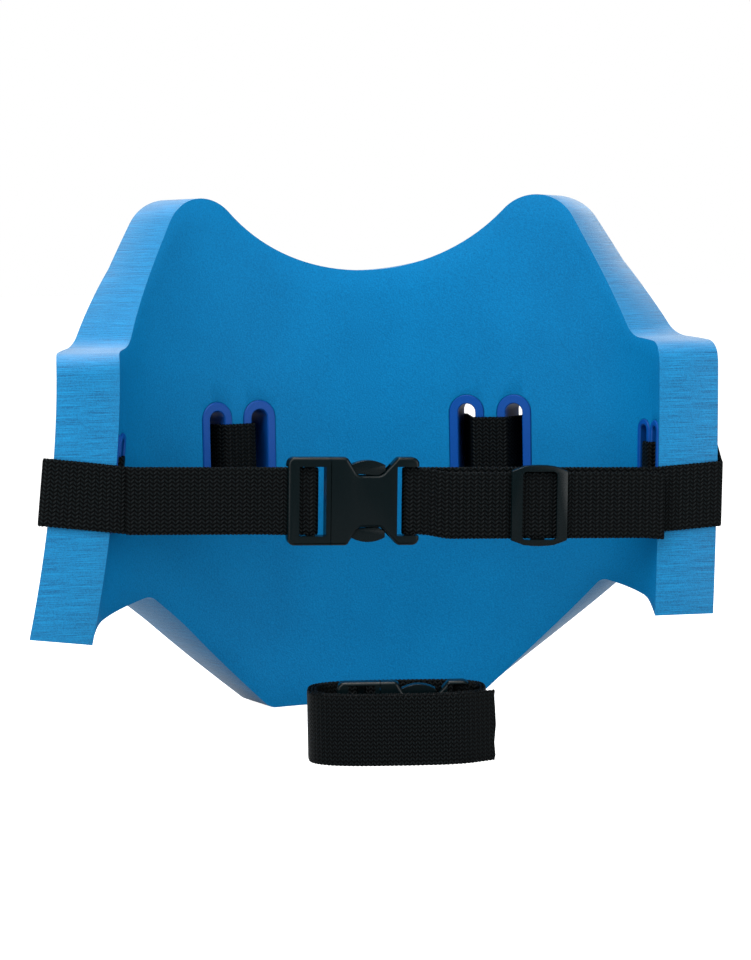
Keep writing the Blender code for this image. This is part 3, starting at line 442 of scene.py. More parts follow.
def prism(outline, v0, v1, origin=(0, 0, 0)):
    """Solid between two depths v of a (u, w) outline, with its own origin."""
    bm = bmesh.new()
    base = front_point(*origin)
    loops = [[bm.verts.new(front_point(u, v, w) - base) for u, w in outline] for v in (v0, v1)]
    bridge_loops(bm, loops, closed=False)
    return bm


def box_outline(u0, u1, w0, w1):
    return [(u0, w0), (u1, w0), (u1, w1), (u0, w1)]


def cutter(name, bm, parent=None, location=(0, 0, 0)):
    obj = add_object(name, bm, None, parent, location, smooth=False)
    obj.hide_render = True
    obj.display_type = 'WIRE'
    obj["cutter"] = True
    return obj


def cut(obj, tool, operation='DIFFERENCE'):
    mod = obj.modifiers.new(tool.name, 'BOOLEAN')
    mod.operation = operation
    mod.solver = 'EXACT'
    mod.object = tool


def round_edges(obj, width, segments=5, angle=radians(50)):
    mod = obj.modifiers.new("rounding", 'BEVEL')
    mod.width = width
    mod.segments = segments
    mod.limit_method = 'ANGLE'
    mod.angle_limit = angle


def smoothed(values):
    """Each value between two others pulled towards them, with both ends kept."""
    middle = [(a + b * 2 + c) / 4 for a, b, c in zip(values, values[1:], values[2:])]
    return [values[0]] + middle + [values[-1]]


def resample(points, tilts, step):
    """Evenly spaced points and tilts along a polyline, slightly smoothed."""
    lengths = [0.0]
    for a, b in zip(points, points[1:]):
        lengths.append(lengths[-1] + (Vector(b) - Vector(a)).length)
    count = round(lengths[-1] / step)
    out, lean, j = [], [], 0
    for i in range(count + 1):
        at = lengths[-1] * i / count
        while j < len(points) - 2 and lengths[j + 1] < at:
            j += 1
        span = lengths[j + 1] - lengths[j]
        t = (at - lengths[j]) / span if span else 0
        out.append(Vector(points[j]).lerp(Vector(points[j + 1]), t))
        lean.append(tilts[j] + (tilts[j + 1] - tilts[j]) * t)
    for _ in range(WEBBING_SMOOTHING):
        out, lean = smoothed(out), smoothed(lean)
    return out, lean, lengths[-1]


def webbing(points, tilts=None, frayed=False):
    """Band of webbing along (x, y, z) points that run in plan; UV is along and across it.

    Its section has soft selvedges, in shares of half the width and half the thickness.
    """
    path, lean, length = resample(points, tilts or [0.0] * len(points), WEBBING_STEP)
    half_width, half_thick = WEBBING_WIDTH / 2, WEBBING_THICKNESS / 2
    edge = [(1.0, 0.0), (0.985, 0.62), (0.95, 0.95)]
    face = [(w, 1.0) for w in (0.85, 0.5, 0.0, -0.5, -0.85)]
    upper = edge + face + [(-w, t) for w, t in reversed(edge)]
    section = upper + [(w, -t) for w, t in reversed(upper[1:-1])]
    bm = bmesh.new()
    uv = bm.loops.layers.uv.new("weave")
    loops, along = [], []
    for i, p in enumerate(path):
        before, after = path[max(i - 1, 0)], path[min(i + 1, len(path) - 1)]
        direction = Vector((after.x - before.x, after.y - before.y, 0)).normalized()
        side = Vector((direction.y, -direction.x, 0))
        up = Vector((sin(lean[i]), 0, cos(lean[i])))
        at = length * i / (len(path) - 1)
        tooth = SELVEDGE_TOOTH * sin(2 * pi * at / WEAVE_ROW)
        loop = []
        for w, t in section:
            grow = (half_width + (tooth if abs(w) > 0.9 else 0)) * w
            shift = 0
            if frayed and i > len(path) - 3:
                shift = FRAY * (sin(w * 41 + t) + sin(w * 97 + 2 * t)) / 2
            loop.append(bm.verts.new(p + side * half_thick * t + up * grow + direction * shift))
        loops.append(loop)
        along.append(at)
    bridge_loops(bm, loops, closed=False)
    bm.verts.index_update()
    size = len(section)
    for f in bm.faces:
        for corner in f.loops:
            i, j = divmod(corner.vert.index, size)
            corner[uv].uv = (along[i], section[j][0] * half_width)
    return bm


def path_from_corners(corners, step=CURVE_STEP):
    """Points and tilts of a polyline in plan through (x, y, z, radius, tilt) corners, rounded."""
    plan = [(c[0], c[1], c[3]) for c in corners]
    points, tilts = [], []
    for i, (x, y, radius) in enumerate(plan):
        turn = rounded(plan[i - 1:i + 2], closed=False, step=step)[1:-1] if radius > 0 else [(x, y)]
        points += [(*p, corners[i][2]) for p in turn]
        tilts += [corners[i][4]] * len(turn)
    return points, tilts


# ---- float, liners and the strap that weaves through them ----
def half_slots(side):
    """Distance from the middle, height, hole width and flange width of one side's slots."""
    centre = BACK_PAIR_CENTRE + side * BACK_PAIR_SHIFT
    last = WING_END - WING_SLOT_MARGIN
    return [(centre - SLOT_PITCH / 2, 0, SLOT_WIDTH, LINER_FLANGE),
            (centre + SLOT_PITCH / 2, 0, SLOT_WIDTH, LINER_FLANGE),
            (last - WING_SLOT_PITCH, WING_PAIR_Z, WING_SLOT_WIDTH, WING_LINER_FLANGE),
            (last, WING_PAIR_Z, WING_SLOT_WIDTH, WING_LINER_FLANGE)]


def slot_places():
    """Arc length, height, hole width and flange width of every slot, left to right."""
    return [(-s, *rest) for s, *rest in reversed(half_slots(-1))] + half_slots(1)


def slot_frame(s, z):
    """Centre of a slot on the inner face, with its outward, forward and upward directions."""
    point, normal, tangent = plan_frame(s)
    step = 10 * MM
    lean = (splay(s, z + step) - splay(s, z - step)) / (2 * step)
    up = Vector((lean, 0, 1)).normalized()
    centre = Vector((point.x + splay(s, z), point.y, z))
    return centre, Vector((normal.x, normal.y, 0)), Vector((tangent.x, tangent.y, 0)), up


def slot_loop(bm, s, z, radius, n):
    """Vertices of a slot-shaped loop, at depth n of the slot's straight axis."""
    centre, out, forward, up = slot_frame(s, z)
    straight = (SLOT_LENGTH - SLOT_WIDTH) / 2
    top = arc((0, straight), radius, 0, pi, FINE_STEP)
    bottom = arc((0, -straight), radius, pi, 2 * pi, FINE_STEP)
    return [bm.verts.new(centre + forward * a + out * n + up * h) for a, h in top + bottom]


def make_liner(index, s, z, width, flange_width, mat):
    hole = width / 2
    barrel = hole + LINER_WALL
    flange = hole + flange_width
    under = LINER_BED - TOUCH_GAP
    face = under - LINER_FLANGE_THICKNESS
    end = FOAM_THICKNESS - LINER_END_INSET
    lip = LINER_LIP
    profile = [(hole, face + lip), (hole + lip, face), (flange - lip, face), (flange, face + lip),
               (flange, under), (barrel, under), (barrel, end), (hole, end)]
    bm = bmesh.new()
    loops = [slot_loop(bm, s, z, radius, n) for radius, n in profile]
    bridge_loops(bm, loops, closed=True)
    return add_object(f"slot_liner_{index}_look", bm, mat)


def make_slot_cutter():
    bm = bmesh.new()
    for s, z, width, flange_width in slot_places():
        barrel = width / 2 + LINER_WALL + TOUCH_GAP
        flange = width / 2 + flange_width + TOUCH_GAP
        profile = [(flange, -SLOT_CUT_FRONT), (flange, LINER_BED),
                   (barrel, LINER_BED), (barrel, FOAM_THICKNESS + SLOT_CUT_BACK)]
        bridge_loops(bm, [slot_loop(bm, s, z, radius, n) for radius, n in profile], closed=False)
    return cutter("slot_cutter", bm)


def outline_lengths(points):
    """Running length along an outline, one value for each point."""
    total, result = 0.0, [0.0]
    for (s0, z0), (s1, z1) in zip(points, points[1:]):
        total += hypot(s1 - s0, z1 - z0)
        result.append(total)
    return result


def make_float(skin, cut_face):
    """The foam slab. UV is (along the outline, through the thickness) on its cut faces."""
    top, bottom = top_edge(), bottom_edge()
    top_run = list(zip([p[0] for p in top], outline_lengths(top)))
    bottom_run = list(zip([p[0] for p in bottom], outline_lengths(bottom)))
    half = sorted({round(p[0], 6) for p in top + bottom} | {0.0, round(WING_END, 6)})
    columns = [half[0]]
    for s in half[1:]:
        count = max(1, round((s - columns[-1]) / COLUMN_STEP))
        start = columns[-1]
        if s - start < 0.4 * MM:
            continue
        columns += [start + (s - start) * (i + 1) / count for i in range(count)]
    columns[-1] = WING_END
    columns = [-s for s in reversed(columns[1:])] + columns
    bm = bmesh.new()
    uv = bm.loops.layers.uv.new("weave")
    loops, marks = [], []
    for s in columns:
        low, high = interpolate(bottom, abs(s)), interpolate(top, abs(s))
        rows = [low + (high - low) * i / FLOAT_ROWS for i in range(FLOAT_ROWS + 1)]
        inner = [bm.verts.new(bend(s, 0, z)) for z in rows]
        outer = [bm.verts.new(bend(s, FOAM_THICKNESS, z)) for z in reversed(rows)]
        loops.append(inner + outer)
        marks.append((interpolate(top_run, abs(s)), interpolate(bottom_run, abs(s))))
    count = len(loops[0])
    middle = count // 2
    for (a, mark_a), (b, mark_b) in zip(zip(loops, marks), list(zip(loops, marks))[1:]):
        for i in range(count):
            j = (i + 1) % count
            face = bm.faces.new((a[i], a[j], b[j], b[i]))
            if i in (middle - 1, count - 1):
                face.material_index = 1
                pick = 0 if i == middle - 1 else 1
                depths = (0, FOAM_THICKNESS) if i == middle - 1 else (FOAM_THICKNESS, 0)
                values = [(mark_a[pick], depths[0]), (mark_a[pick], depths[1]),
                          (mark_b[pick], depths[1]), (mark_b[pick], depths[0])]
                for corner, value in zip(face.loops, values):
                    corner[uv].uv = value
    for loop in (loops[0], loops[-1]):
        for i in range(middle - 1):
            face = bm.faces.new((loop[i], loop[i + 1], loop[count - 2 - i], loop[count - 1 - i]))
            face.material_index = 1
            for corner, depth in zip(face.loops, (0, 0, FOAM_THICKNESS, FOAM_THICKNESS)):
                corner[uv].uv = (corner.vert.co.z, depth)
    obj = add_object("float_foam", bm, skin)
    obj.data.materials.append(cut_face)
    cut(obj, make_slot_cutter())
    round_edges(obj, FOAM_EDGE, segments=2)
    return obj


def weave_corners(side):
    """Corners (x, y, z, radius, tilt) of half the strap, from the middle of the back to its last slot."""
    outside = FOAM_THICKNESS + STRAP_BACK_LIFT + WEBBING_THICKNESS / 2
    bridge = LINER_BED - TOUCH_GAP - LINER_FLANGE_THICKNESS - BRIDGE_LIFT

    def outside_run(s0, z0, s1, z1):
        count = max(2, round((s1 - s0) / COLUMN_STEP))
        run = []
        for i in range(1, count):
            s = s0 + (s1 - s0) * i / count
            z = z0 + (z1 - z0) * smoothstep(i / count)
            p = on_plan(side * s, outside)
            low, high = (splay(side * s, z + edge * WEBBING_WIDTH / 2) for edge in (-1, 1))
            run.append((p.x + (low + high) / 2, p.y, z, 0, atan2(high - low, WEBBING_WIDTH)))
        return run

    slots = half_slots(side)
    corners = outside_run(-0.5 * COLUMN_STEP, 0, slots[0][0] - slots[0][2] / 2 - FOLD_RADIUS, 0)
    for pair, z_strap in ((slots[:2], 0), (slots[2:], WING_STRAP_Z)):
        for (s, z, width, _), inward in zip(pair, (True, False)):
            centre, out, forward, up = slot_frame(side * s, z)
            reach = width / 2 - WEBBING_THICKNESS / 2 - TOUCH_GAP - SLOT_EDGE_GAP
            first, last = (outside, bridge) if inward else (bridge, outside)
            for along, depth in ((-reach, first), (reach, last)):
                p = centre + forward * along + out * depth + up * (z_strap - z)
                corners.append((p.x, p.y, z_strap, FOLD_RADIUS, atan2(up.x, up.z)))
        if z_strap == 0:
            start = pair[1][0] + pair[1][2] / 2 + FOLD_RADIUS
            end = slots[2][0] - slots[2][2] / 2 - FOLD_RADIUS
            corners += outside_run(start, 0, end, WING_STRAP_Z)
    return corners


def strap_path(side):
    """Half of the strap round the float, from the back's middle to the front split."""
    wrap_z = WING_WRAP_Z_RIGHT if side > 0 else WING_WRAP_Z_LEFT
    wrap_tilt = WING_WRAP_TILT_RIGHT if side > 0 else WING_WRAP_TILT_LEFT
    slack = WING_WRAP_SLACK_RIGHT if side > 0 else WING_WRAP_SLACK_LEFT
    front_z = FRONT_Z - side * FRONT_SPLIT * sin(FRONT_TILT)
    wing_x = on_plan(side * WING_END, FOAM_THICKNESS).x + splay(side * WING_END, wrap_z)
    bulge = wing_x + side * (TOUCH_GAP + WEBBING_THICKNESS / 2 + slack)
    corners = weave_corners(side)
    corners += [(bulge, FRONT_Y, wrap_z, WING_WRAP_RADIUS, wrap_tilt),
                (side * FRONT_SPLIT * cos(FRONT_TILT), FRONT_Y, front_z, 0, FRONT_TILT)]
    return path_from_corners(corners)


def make_strap_main(mat):
    right, right_tilts = strap_path(1)
    left, left_tilts = strap_path(-1)
    points = left[::-1] + right
    tilts = left_tilts[::-1] + right_tilts
    return add_object("strap_main_look", webbing(points, tilts), mat)


# ---- front run ----
UPPER_LAYER = BAR_THICKNESS + 2 * TOUCH_GAP + WEBBING_THICKNESS  # top layer where it folds over a bar
BUCKLE_MID = UPPER_LAYER / 2
SLIDER_LAYER = SLIDER_CENTRE_THICKNESS + 2 * TOUCH_GAP + WEBBING_THICKNESS


def fold_path(fold_u, side, start_u, stations):
    """Strap from start_u, round a bar at fold_u and back through (u, v) stations.

    side is 1 for a fold that bulges along u and -1 for one that bulges the other way.
    """
    radius = UPPER_LAYER / 2
    turn = arc((fold_u, radius), radius, -pi / 2, pi / 2, FINE_STEP)
    points = [(start_u, 0)] + [(fold_u + side * (u - fold_u), v) for u, v in turn] + stations
    return [(u, -v, 0) for u, v in points]


def blend_layer(u0, v0, u1, v1, count=5):
    """Gentle S of the strap's upper layer between two heights."""
    return [(u0 + (u1 - u0) * i / count, v0 + (v1 - v0) * smoothstep(i / count)) for i in range(count + 1)]


def make_front_straps(parent, mat):
    bar = BUCKLE_SPLIT + BASE_BAR_END - BAR_THICKNESS / 2
    base_end = BUCKLE_SPLIT - BASE_LENGTH
    stations = blend_layer(base_end - BLEND_START, UPPER_LAYER, base_end - LEFT_BLEND_END, LAYER_STEP)
    left = fold_path(bar, 1, -FRONT_SPLIT + TOUCH_GAP, stations + [(LEFT_TAIL, LAYER_STEP)])
    left = add_object("strap_left_look", webbing(left), mat, parent)
    bar = BUCKLE_SPLIT + BODY_BAR_START + BAR_THICKNESS / 2
    body_end = BUCKLE_SPLIT + BODY_LENGTH
    stations = blend_layer(body_end + BLEND_START, UPPER_LAYER, body_end + RIGHT_BLEND_END, SLIDER_LAYER)
    level = SLIDER_U - SLIDER_LENGTH / 2 - SLIDER_REACH
    sag_start = stations[-1][0]
    for i in range(1, SAG_STEPS + 1):
        stations.append((sag_start + (level - sag_start) * i / SAG_STEPS, SLIDER_LAYER))
    level_end = SLIDER_U + SLIDER_LENGTH / 2 + SLIDER_REACH_OUT
    stations += [(level_end, SLIDER_LAYER), (RIGHT_TAIL, SLIDER_LAYER)]
    right = fold_path(bar, -1, FRONT_SPLIT - TOUCH_GAP, stations)
    folded = len(right) - len(stations)
    for i in range(folded, len(right)):
        u, y, _ = right[i]
        right[i] = (u, y, -SLIDER_DROP * smoothstep((u - body_end) / (level - body_end)))
    right[-1] = (*right[-1][:2], -TAIL_DROP)
    return left, add_object("strap_right_look", webbing(right), mat, parent)


def body_outline(k, h):
    """Front view of the buckle's socket half: full width at both ends, waisted for the release pads."""
    waist = h - WAIST_INSET
    half = [(-MOUTH_TRIM, h, 0), (MOUTH_WALL_LENGTH * k, h, SHOULDER_CORNER),
            (WAIST_START * k, waist, WAIST_CORNER), (WAIST_END * k, waist, WAIST_CORNER),
            (WAIST_RETURN * k, h, SHOULDER_CORNER), (BODY_LENGTH * k, h, BUCKLE_CORNER)]
    return rounded([(u, -w, r) for u, w, r in half] + [(u, w, r) for u, w, r in reversed(half)])


def bar_solid(u0, u1, v_mid, thickness, half_width):
    """Webbing bar with rounded long edges, lying along w."""
    r = thickness / 2 - 0.01 * MM
    section = rounded([(u0, v_mid - thickness / 2, r), (u1, v_mid - thickness / 2, r),
                       (u1, v_mid + thickness / 2, r), (u0, v_mid + thickness / 2, r)], step=pi / 6)
    bm = bmesh.new()
    loops = [[bm.verts.new(front_point(u, v, w)) for u, v in section] for w in (-half_width, half_width)]
    bridge_loops(bm, loops, closed=False)
    return bm


def make_buckle(prefix, parent, k, rail, mat):
    """Side-release buckle whose split is at u = 0 of its parent; k scales its length."""
    half_thick = BUCKLE_THICKNESS / 2
    window_half = WEBBING_WIDTH / 2 + RAIL_GAP
    half_width = window_half + rail
    cavity_half = half_thick - PLATE_THICKNESS
    wall_inner = half_width - PAD_INSET + PAD_CLEARANCE
    far = 20 * MM       # beyond the buckle on every side

    solid = prism(body_outline(k, half_width), -half_thick, half_thick)
    body = add_object(f"{prefix}_socket_look", solid, mat, parent)
    round_edges(body, BUCKLE_ROUND)
    hollow = box_outline(-far, CAVITY_END * k, -wall_inner, wall_inner)
    hollow = prism(hollow, -cavity_half, cavity_half)
    window = box_outline(BODY_WINDOW_START * k, BODY_LENGTH * k + far, -window_half, window_half)
    window = prism(window, -far, far)
    mouth = prism(box_outline(-far, 0, -far * 2, far * 2), -far, far)
    for name, shape in (("hollow", hollow), ("window", window), ("mouth", mouth)):
        cut(body, cutter(f"{prefix}_socket_{name}", shape, parent))
    bar = bar_solid(BODY_BAR_START * k, BODY_BAR_END * k, 0, BAR_THICKNESS, window_half + BAR_ROOT)
    cut(body, cutter(f"{prefix}_socket_bar", bar, parent), 'UNION')

    h = half_width
    outline = rounded([(-BASE_LENGTH * k, -h, BUCKLE_CORNER), (MOUTH_TRIM, -h, 0),
                       (MOUTH_TRIM, h, 0), (-BASE_LENGTH * k, h, BUCKLE_CORNER)])
    base = add_object(f"{prefix}_plug_look", prism(outline, -half_thick, half_thick), mat, parent)
    round_edges(base, BUCKLE_ROUND)
    window = prism(box_outline(OUTER_BAR_END * k, -BASE_BLOCK * k, -window_half, window_half), -far, far)
    behind = prism(box_outline(-BASE_LENGTH * k - far, -BASE_BLOCK * k, -window_half, window_half),
                   -far, BUCKLE_MID + WEBBING_THICKNESS / 2 + TOUCH_GAP)
    mouth = prism(box_outline(-SPLIT_GAP, far, -far * 2, far * 2), -far, far)
    for name, shape in (("window", window), ("behind", behind), ("mouth", mouth)):
        cut(base, cutter(f"{prefix}_plug_{name}", shape, parent))
    bar = bar_solid(BASE_BAR_START * k, BASE_BAR_END * k, 0, BAR_THICKNESS, window_half + BAR_ROOT)
    cut(base, cutter(f"{prefix}_plug_bar", bar, parent), 'UNION')
    core = prism(plug_outline(k, half_width), -ARM_THICKNESS / 2, ARM_THICKNESS / 2)
    cut(base, cutter(f"{prefix}_plug_core", core, parent), 'UNION')

    pieces = [body, base]
    for name, side in (("upper", 1), ("lower", -1)):
        pivot = (ARM_PIVOT_U * k, 0, side * (half_width - ARM_PIVOT_INSET))
        outline = [(u, side * w) for u, w in arm_outline(k, half_width)]
        arm = prism(outline, -ARM_THICKNESS / 2, ARM_THICKNESS / 2, pivot)
        obj = add_object(f"{prefix}_release_{name}_look", arm, mat, parent, front_point(*pivot))
        round_edges(obj, ARM_ROUND, segments=3)
        pieces.append(obj)
    return pieces


def plug_outline(k, half_width):
    """Core of the plug half inside the socket: cross block with two hinge seats, and the middle tongue."""
    seat = ARM_ROOT_RADIUS + TOUCH_GAP
    u, w = ARM_PIVOT_U * k, half_width - ARM_PIVOT_INSET
    front = u + (PLUG_LENGTH - ARM_PIVOT_U)
    side = half_width - PLUG_INSET
    upper = [(front, w - seat)] + arc((u, w), seat, -pi / 2, -3 * pi / 2, FINE_STEP) + [(front, w + seat)]
    tip, taper, sunk = 1.5 * MM, 1 * MM, 1 * MM
    half = [(TONGUE_LENGTH * k, TONGUE_HALF - taper), (TONGUE_LENGTH * k - tip, TONGUE_HALF),
            (front, TONGUE_HALF)] + upper + [(front, side), (-sunk, side)]
    return [(u, -w) for u, w in reversed(half)] + half


def arm_outline(k, half_width):
    """Release arm above the middle: round root, thin spring and the crested pad."""
    u, w = ARM_PIVOT_U * k, half_width - ARM_PIVOT_INSET
    crest_w = half_width - PAD_INSET
    root = arc((u, w), ARM_ROOT_RADIUS, radians(50), radians(310), FINE_STEP)
    crest_u = (PAD_START + PAD_END) / 2 * k
    chord = (PAD_END - PAD_START) / 2 * k
    radius = (chord ** 2 + PAD_RISE ** 2) / (2 * PAD_RISE)
    half_angle = atan2(chord, radius - PAD_RISE)
    centre = (crest_u, crest_w - radius)
    crest = arc(centre, radius, pi / 2 - half_angle, pi / 2 + half_angle, radians(2))
    lower = [((PAD_START + 1 * MM) * k, w + 0.2 * MM), ((PAD_END - 4 * MM) * k, w - 1.0 * MM),
             (PAD_END * k, w + 1.5 * MM)]
    upper = [(PAD_START * k, w + SPRING_THICKNESS + 0.8 * MM)]
    return root + lower + crest + upper


def make_slider(parent, mat):
    """Three-bar slider: side bars in front of the upper layer, middle bar behind it."""
    half_u, half_w = SLIDER_LENGTH / 2, SLIDER_WIDTH / 2
    back = WEBBING_THICKNESS / 2 + TOUCH_GAP
    bar_back = SLIDER_LAYER + WEBBING_THICKNESS / 2 + TOUCH_GAP
    front = bar_back + SLIDER_FRONT
    origin = (SLIDER_U, SLIDER_LAYER, 0)
    place = front_point(SLIDER_U, SLIDER_LAYER, -SLIDER_DROP)
    bow_radius = half_u ** 2 / (2 * SLIDER_BOW) + SLIDER_BOW
    ends = arc((0, half_w - bow_radius), bow_radius, radians(78), radians(102), OUTLINE_STEP)
    top = [(u, w) for u, w in ends if abs(u) < half_u - SLIDER_CORNER]
    corner_w = half_w - SLIDER_CORNER_DROP
    corners = [(half_u, corner_w)] + top + [(-half_u, corner_w)]
    outline = corners + [(u, -w) for u, w in reversed(corners)]
    shifted = [(u + SLIDER_U, w) for u, w in outline]
    obj = add_object("strap_slider_look", prism(shifted, back, front, origin), mat, parent, place)
    round_edges(obj, SLIDER_ROUND, segments=2, angle=radians(40))
    window_half = WEBBING_WIDTH / 2 + RAIL_GAP
    inner = half_u - SLIDER_BAR
    opening = box_outline(SLIDER_U - inner, SLIDER_U + inner, -window_half, window_half)
    opening = rounded([(u, w, SLIDER_WINDOW_CORNER) for u, w in opening])
    past = 5 * MM       # the cutters reach this far out of the slider
    behind = box_outline(SLIDER_U - half_u - past, SLIDER_U + half_u + past, -window_half, window_half)
    cut(obj, cutter("slider_window", prism(opening, back - past, front + past, origin), parent, place))
    cut(obj, cutter("slider_channel", prism(behind, back - past, bar_back, origin), parent, place))
    middle = prism(box_outline(SLIDER_U - SLIDER_CENTRE_BAR / 2, SLIDER_U + SLIDER_CENTRE_BAR / 2,
                               -window_half - BAR_ROOT, window_half + BAR_ROOT),
                   back, back + SLIDER_CENTRE_THICKNESS, origin)
    cut(obj, cutter("slider_middle", middle, parent, place), 'UNION')
    return obj


# ---- rolled extension strap ----
def power(value, exponent):
    return (1 if value >= 0 else -1) * abs(value) ** exponent


def roll_point(angle, layers):
    """Centre line of the rolled strap, layers counted from the outermost."""
    length = ROLL_HALF_LENGTH - WEBBING_THICKNESS / 2 - ROLL_SIDE_PITCH * layers
    front = sin(angle) < 0
    pitch = ROLL_FRONT_PITCH if front else ROLL_SIDE_PITCH
    exponent = 2 / (ROLL_FRONT_POWER if front else ROLL_BACK_POWER)
    depth = ROLL_HALF_DEPTH - WEBBING_THICKNESS / 2 - pitch * layers
    return (length * power(cos(angle), exponent), depth * power(sin(angle), exponent))


def roll_path():
    """(x, y, z) centre line of the roll from its sewn end, round the buckle's bar, to its free end."""
    fold = BAR_THICKNESS / 2 + TOUCH_GAP + WEBBING_THICKNESS / 2
    bar_u = ROLL_BUCKLE_SPLIT + BODY_BAR_START * ROLL_BUCKLE_SCALE + BAR_THICKNESS / 2
    turn = arc((bar_u, ROLL_BUCKLE_Y), fold, 3 * pi / 2, pi / 2, FINE_STEP)
    plan = [(bar_u + ROLL_STUB, ROLL_BUCKLE_Y - fold)] + turn
    first = roll_point(ROLL_TAIL_ANGLE - 2 * pi * ROLL_TURNS, ROLL_TURNS)
    entry = [(*turn[-1], 0), (first[0], turn[-1][1], ROLL_ENTRY_RADIUS), (*first, 0)]
    plan += rounded(entry, closed=False)[1:-1]
    count = round(ROLL_TURNS * ROLL_TURN_STEPS)
    for i in range(count + 1):
        turned = ROLL_TURNS * i / count
        plan.append(roll_point(ROLL_TAIL_ANGLE - 2 * pi * (ROLL_TURNS - turned), ROLL_TURNS - turned))
    (x0, y0), (x1, y1) = plan[-2:]
    length = hypot(x1 - x0, y1 - y0)
    plan.append((x1 + (x1 - x0) / length * ROLL_TAIL, y1 + (y1 - y0) / length * ROLL_TAIL))
    lowered = [smoothstep((i - len(turn)) / ROLL_LIFT_POINTS) for i in range(len(plan))]
    return [(x, y, ROLL_BUCKLE_LIFT * (1 - share)) for (x, y), share in zip(plan, lowered)]


def make_roll(parent, mat):
    return add_object("extension_strap_look", webbing(roll_path(), frayed=True), mat, parent)


# ---- materials ----
def new_shader(name, roughness, specular):
    """A material with its node tree, a helper that adds nodes, and its Principled shader."""
    mat = bpy.data.materials.new(name)
    mat.use_nodes = True
    tree = mat.node_tree
    shader = tree.nodes["Principled BSDF"]
    shader.inputs["Roughness"].default_value = roughness
    shader.inputs["Specular IOR Level"].default_value = specular

    def node(kind, links=None, **settings):
        made = tree.nodes.new(kind)
        for key, value in settings.items():
            setattr(made, key, value)
        for key, value in (links or {}).items():
            if isinstance(value, (int, float, tuple)):
                made.inputs[key].default_value = value
            else:
                tree.links.new(value, made.inputs[key])
        return made

    return mat, tree, node, shader


def math_node(node, operation, a, b=0.0):
    return node("ShaderNodeMath", {0: a, 1: b}, operation=operation).outputs[0]


def weighted(node, a, b, share):
    """Mix of two values, with the given share of the first."""
    first = math_node(node, "MULTIPLY", a, share)
    second = math_node(node, "MULTIPLY", b, 1 - share)
    return math_node(node, "ADD", first, second)


def noise(node, place, scale, detail=2.0, **settings):
    links = {"Vector": place, "Scale": scale, "Detail": detail}
    return node("ShaderNodeTexNoise", links, **settings).outputs["Fac"]


def ramp(node, factor, dark, light, low=0.0, high=1.0):
    made = node("ShaderNodeValToRGB", {"Fac": factor})
    stops = made.color_ramp.elements
    stops[0].position, stops[0].color = low, (*dark, 1)
    stops[1].position, stops[1].color = high, (*light, 1)
    return made.outputs["Color"]


def bump(tree, node, shader, height, distance, strength):
    made = node("ShaderNodeBump", {"Height": height, "Distance": distance, "Strength": strength})
    tree.links.new(made.outputs["Normal"], shader.inputs["Normal"])


def foam_skin():
    """Closed-cell foam as moulded: fine pebbled skin with a faint cloudiness."""
    mat, tree, node, shader = new_shader("foam_skin", 0.6, 0.05)
    place = node("ShaderNodeTexCoord").outputs["Object"]
    grain = noise(node, place, SKIN_GRAIN)
    mixed = weighted(node, grain, noise(node, place, SKIN_CLOUD), 0.7)
    tree.links.new(ramp(node, mixed, SKIN_DARK, SKIN_LIGHT, 0.3, 0.7), shader.inputs["Base Color"])
    bump(tree, node, shader, grain, distance=0.4 * MM, strength=0.35)
    return mat


def foam_cut():
    """The same foam where it was cut: paler, with fine saw lines through its thickness."""
    mat, tree, node, shader = new_shader("foam_cut", 0.55, 0.12)
    shader.inputs["Sheen Weight"].default_value = 0.35
    shader.inputs["Sheen Roughness"].default_value = 0.45
    place = node("ShaderNodeTexCoord").outputs["Object"]
    grain = noise(node, place, CUT_GRAIN)
    uv = node("ShaderNodeUVMap", uv_map="weave").outputs["UV"]
    scale = (1.0, SAW_STRETCH, 1.0)
    stretched = node("ShaderNodeMapping", {"Vector": uv, "Scale": scale}).outputs["Vector"]
    fine = noise(node, stretched, SAW_FINE, detail=4.0, noise_dimensions='2D')
    broad = noise(node, stretched, SAW_BROAD, noise_dimensions='2D')
    rough = weighted(node, weighted(node, fine, broad, 0.8), grain, 0.65)
    tree.links.new(ramp(node, rough, CUT_DARK, CUT_LIGHT, 0.34, 0.62), shader.inputs["Base Color"])
    bump(tree, node, shader, rough, distance=0.6 * MM, strength=0.5)
    return mat


def woven(name, arm, row):
    """Herringbone webbing: slanted yarns that turn at every arm, from the band's own UV."""
    mat, tree, node, shader = new_shader(name, 0.45, 0.035)
    uv = node("ShaderNodeUVMap", uv_map="weave").outputs["UV"]
    split = node("ShaderNodeSeparateXYZ", {"Vector": uv})
    along, across = split.outputs["X"], split.outputs["Y"]
    zigzag = math_node(node, "MULTIPLY", math_node(node, "PINGPONG", along, arm), YARN_SLANT / arm)
    phase = math_node(node, "ADD", math_node(node, "DIVIDE", across, row), zigzag)
    wave = math_node(node, "SINE", math_node(node, "MULTIPLY", phase, 2 * pi))
    yarn = math_node(node, "ADD", math_node(node, "MULTIPLY", wave, 0.5), 0.5)
    seam = math_node(node, "ABSOLUTE", math_node(node, "SINE", math_node(node, "MULTIPLY", along, pi / arm)))
    groove = math_node(node, "POWER", seam, SEAM_POWER)
    height = math_node(node, "MULTIPLY", yarn, groove)
    # base colour follows the bump height: painted shade in the grooves between legs and yarns, painted
    # highlight on the yarn crests
    tree.links.new(ramp(node, height, WEB_GROOVE_SHADE, WEB_CREST_HIGHLIGHT, 0.1, 0.9), shader.inputs["Base Color"])
    bump(tree, node, shader, height, distance=0.6 * MM, strength=0.9)
    return mat


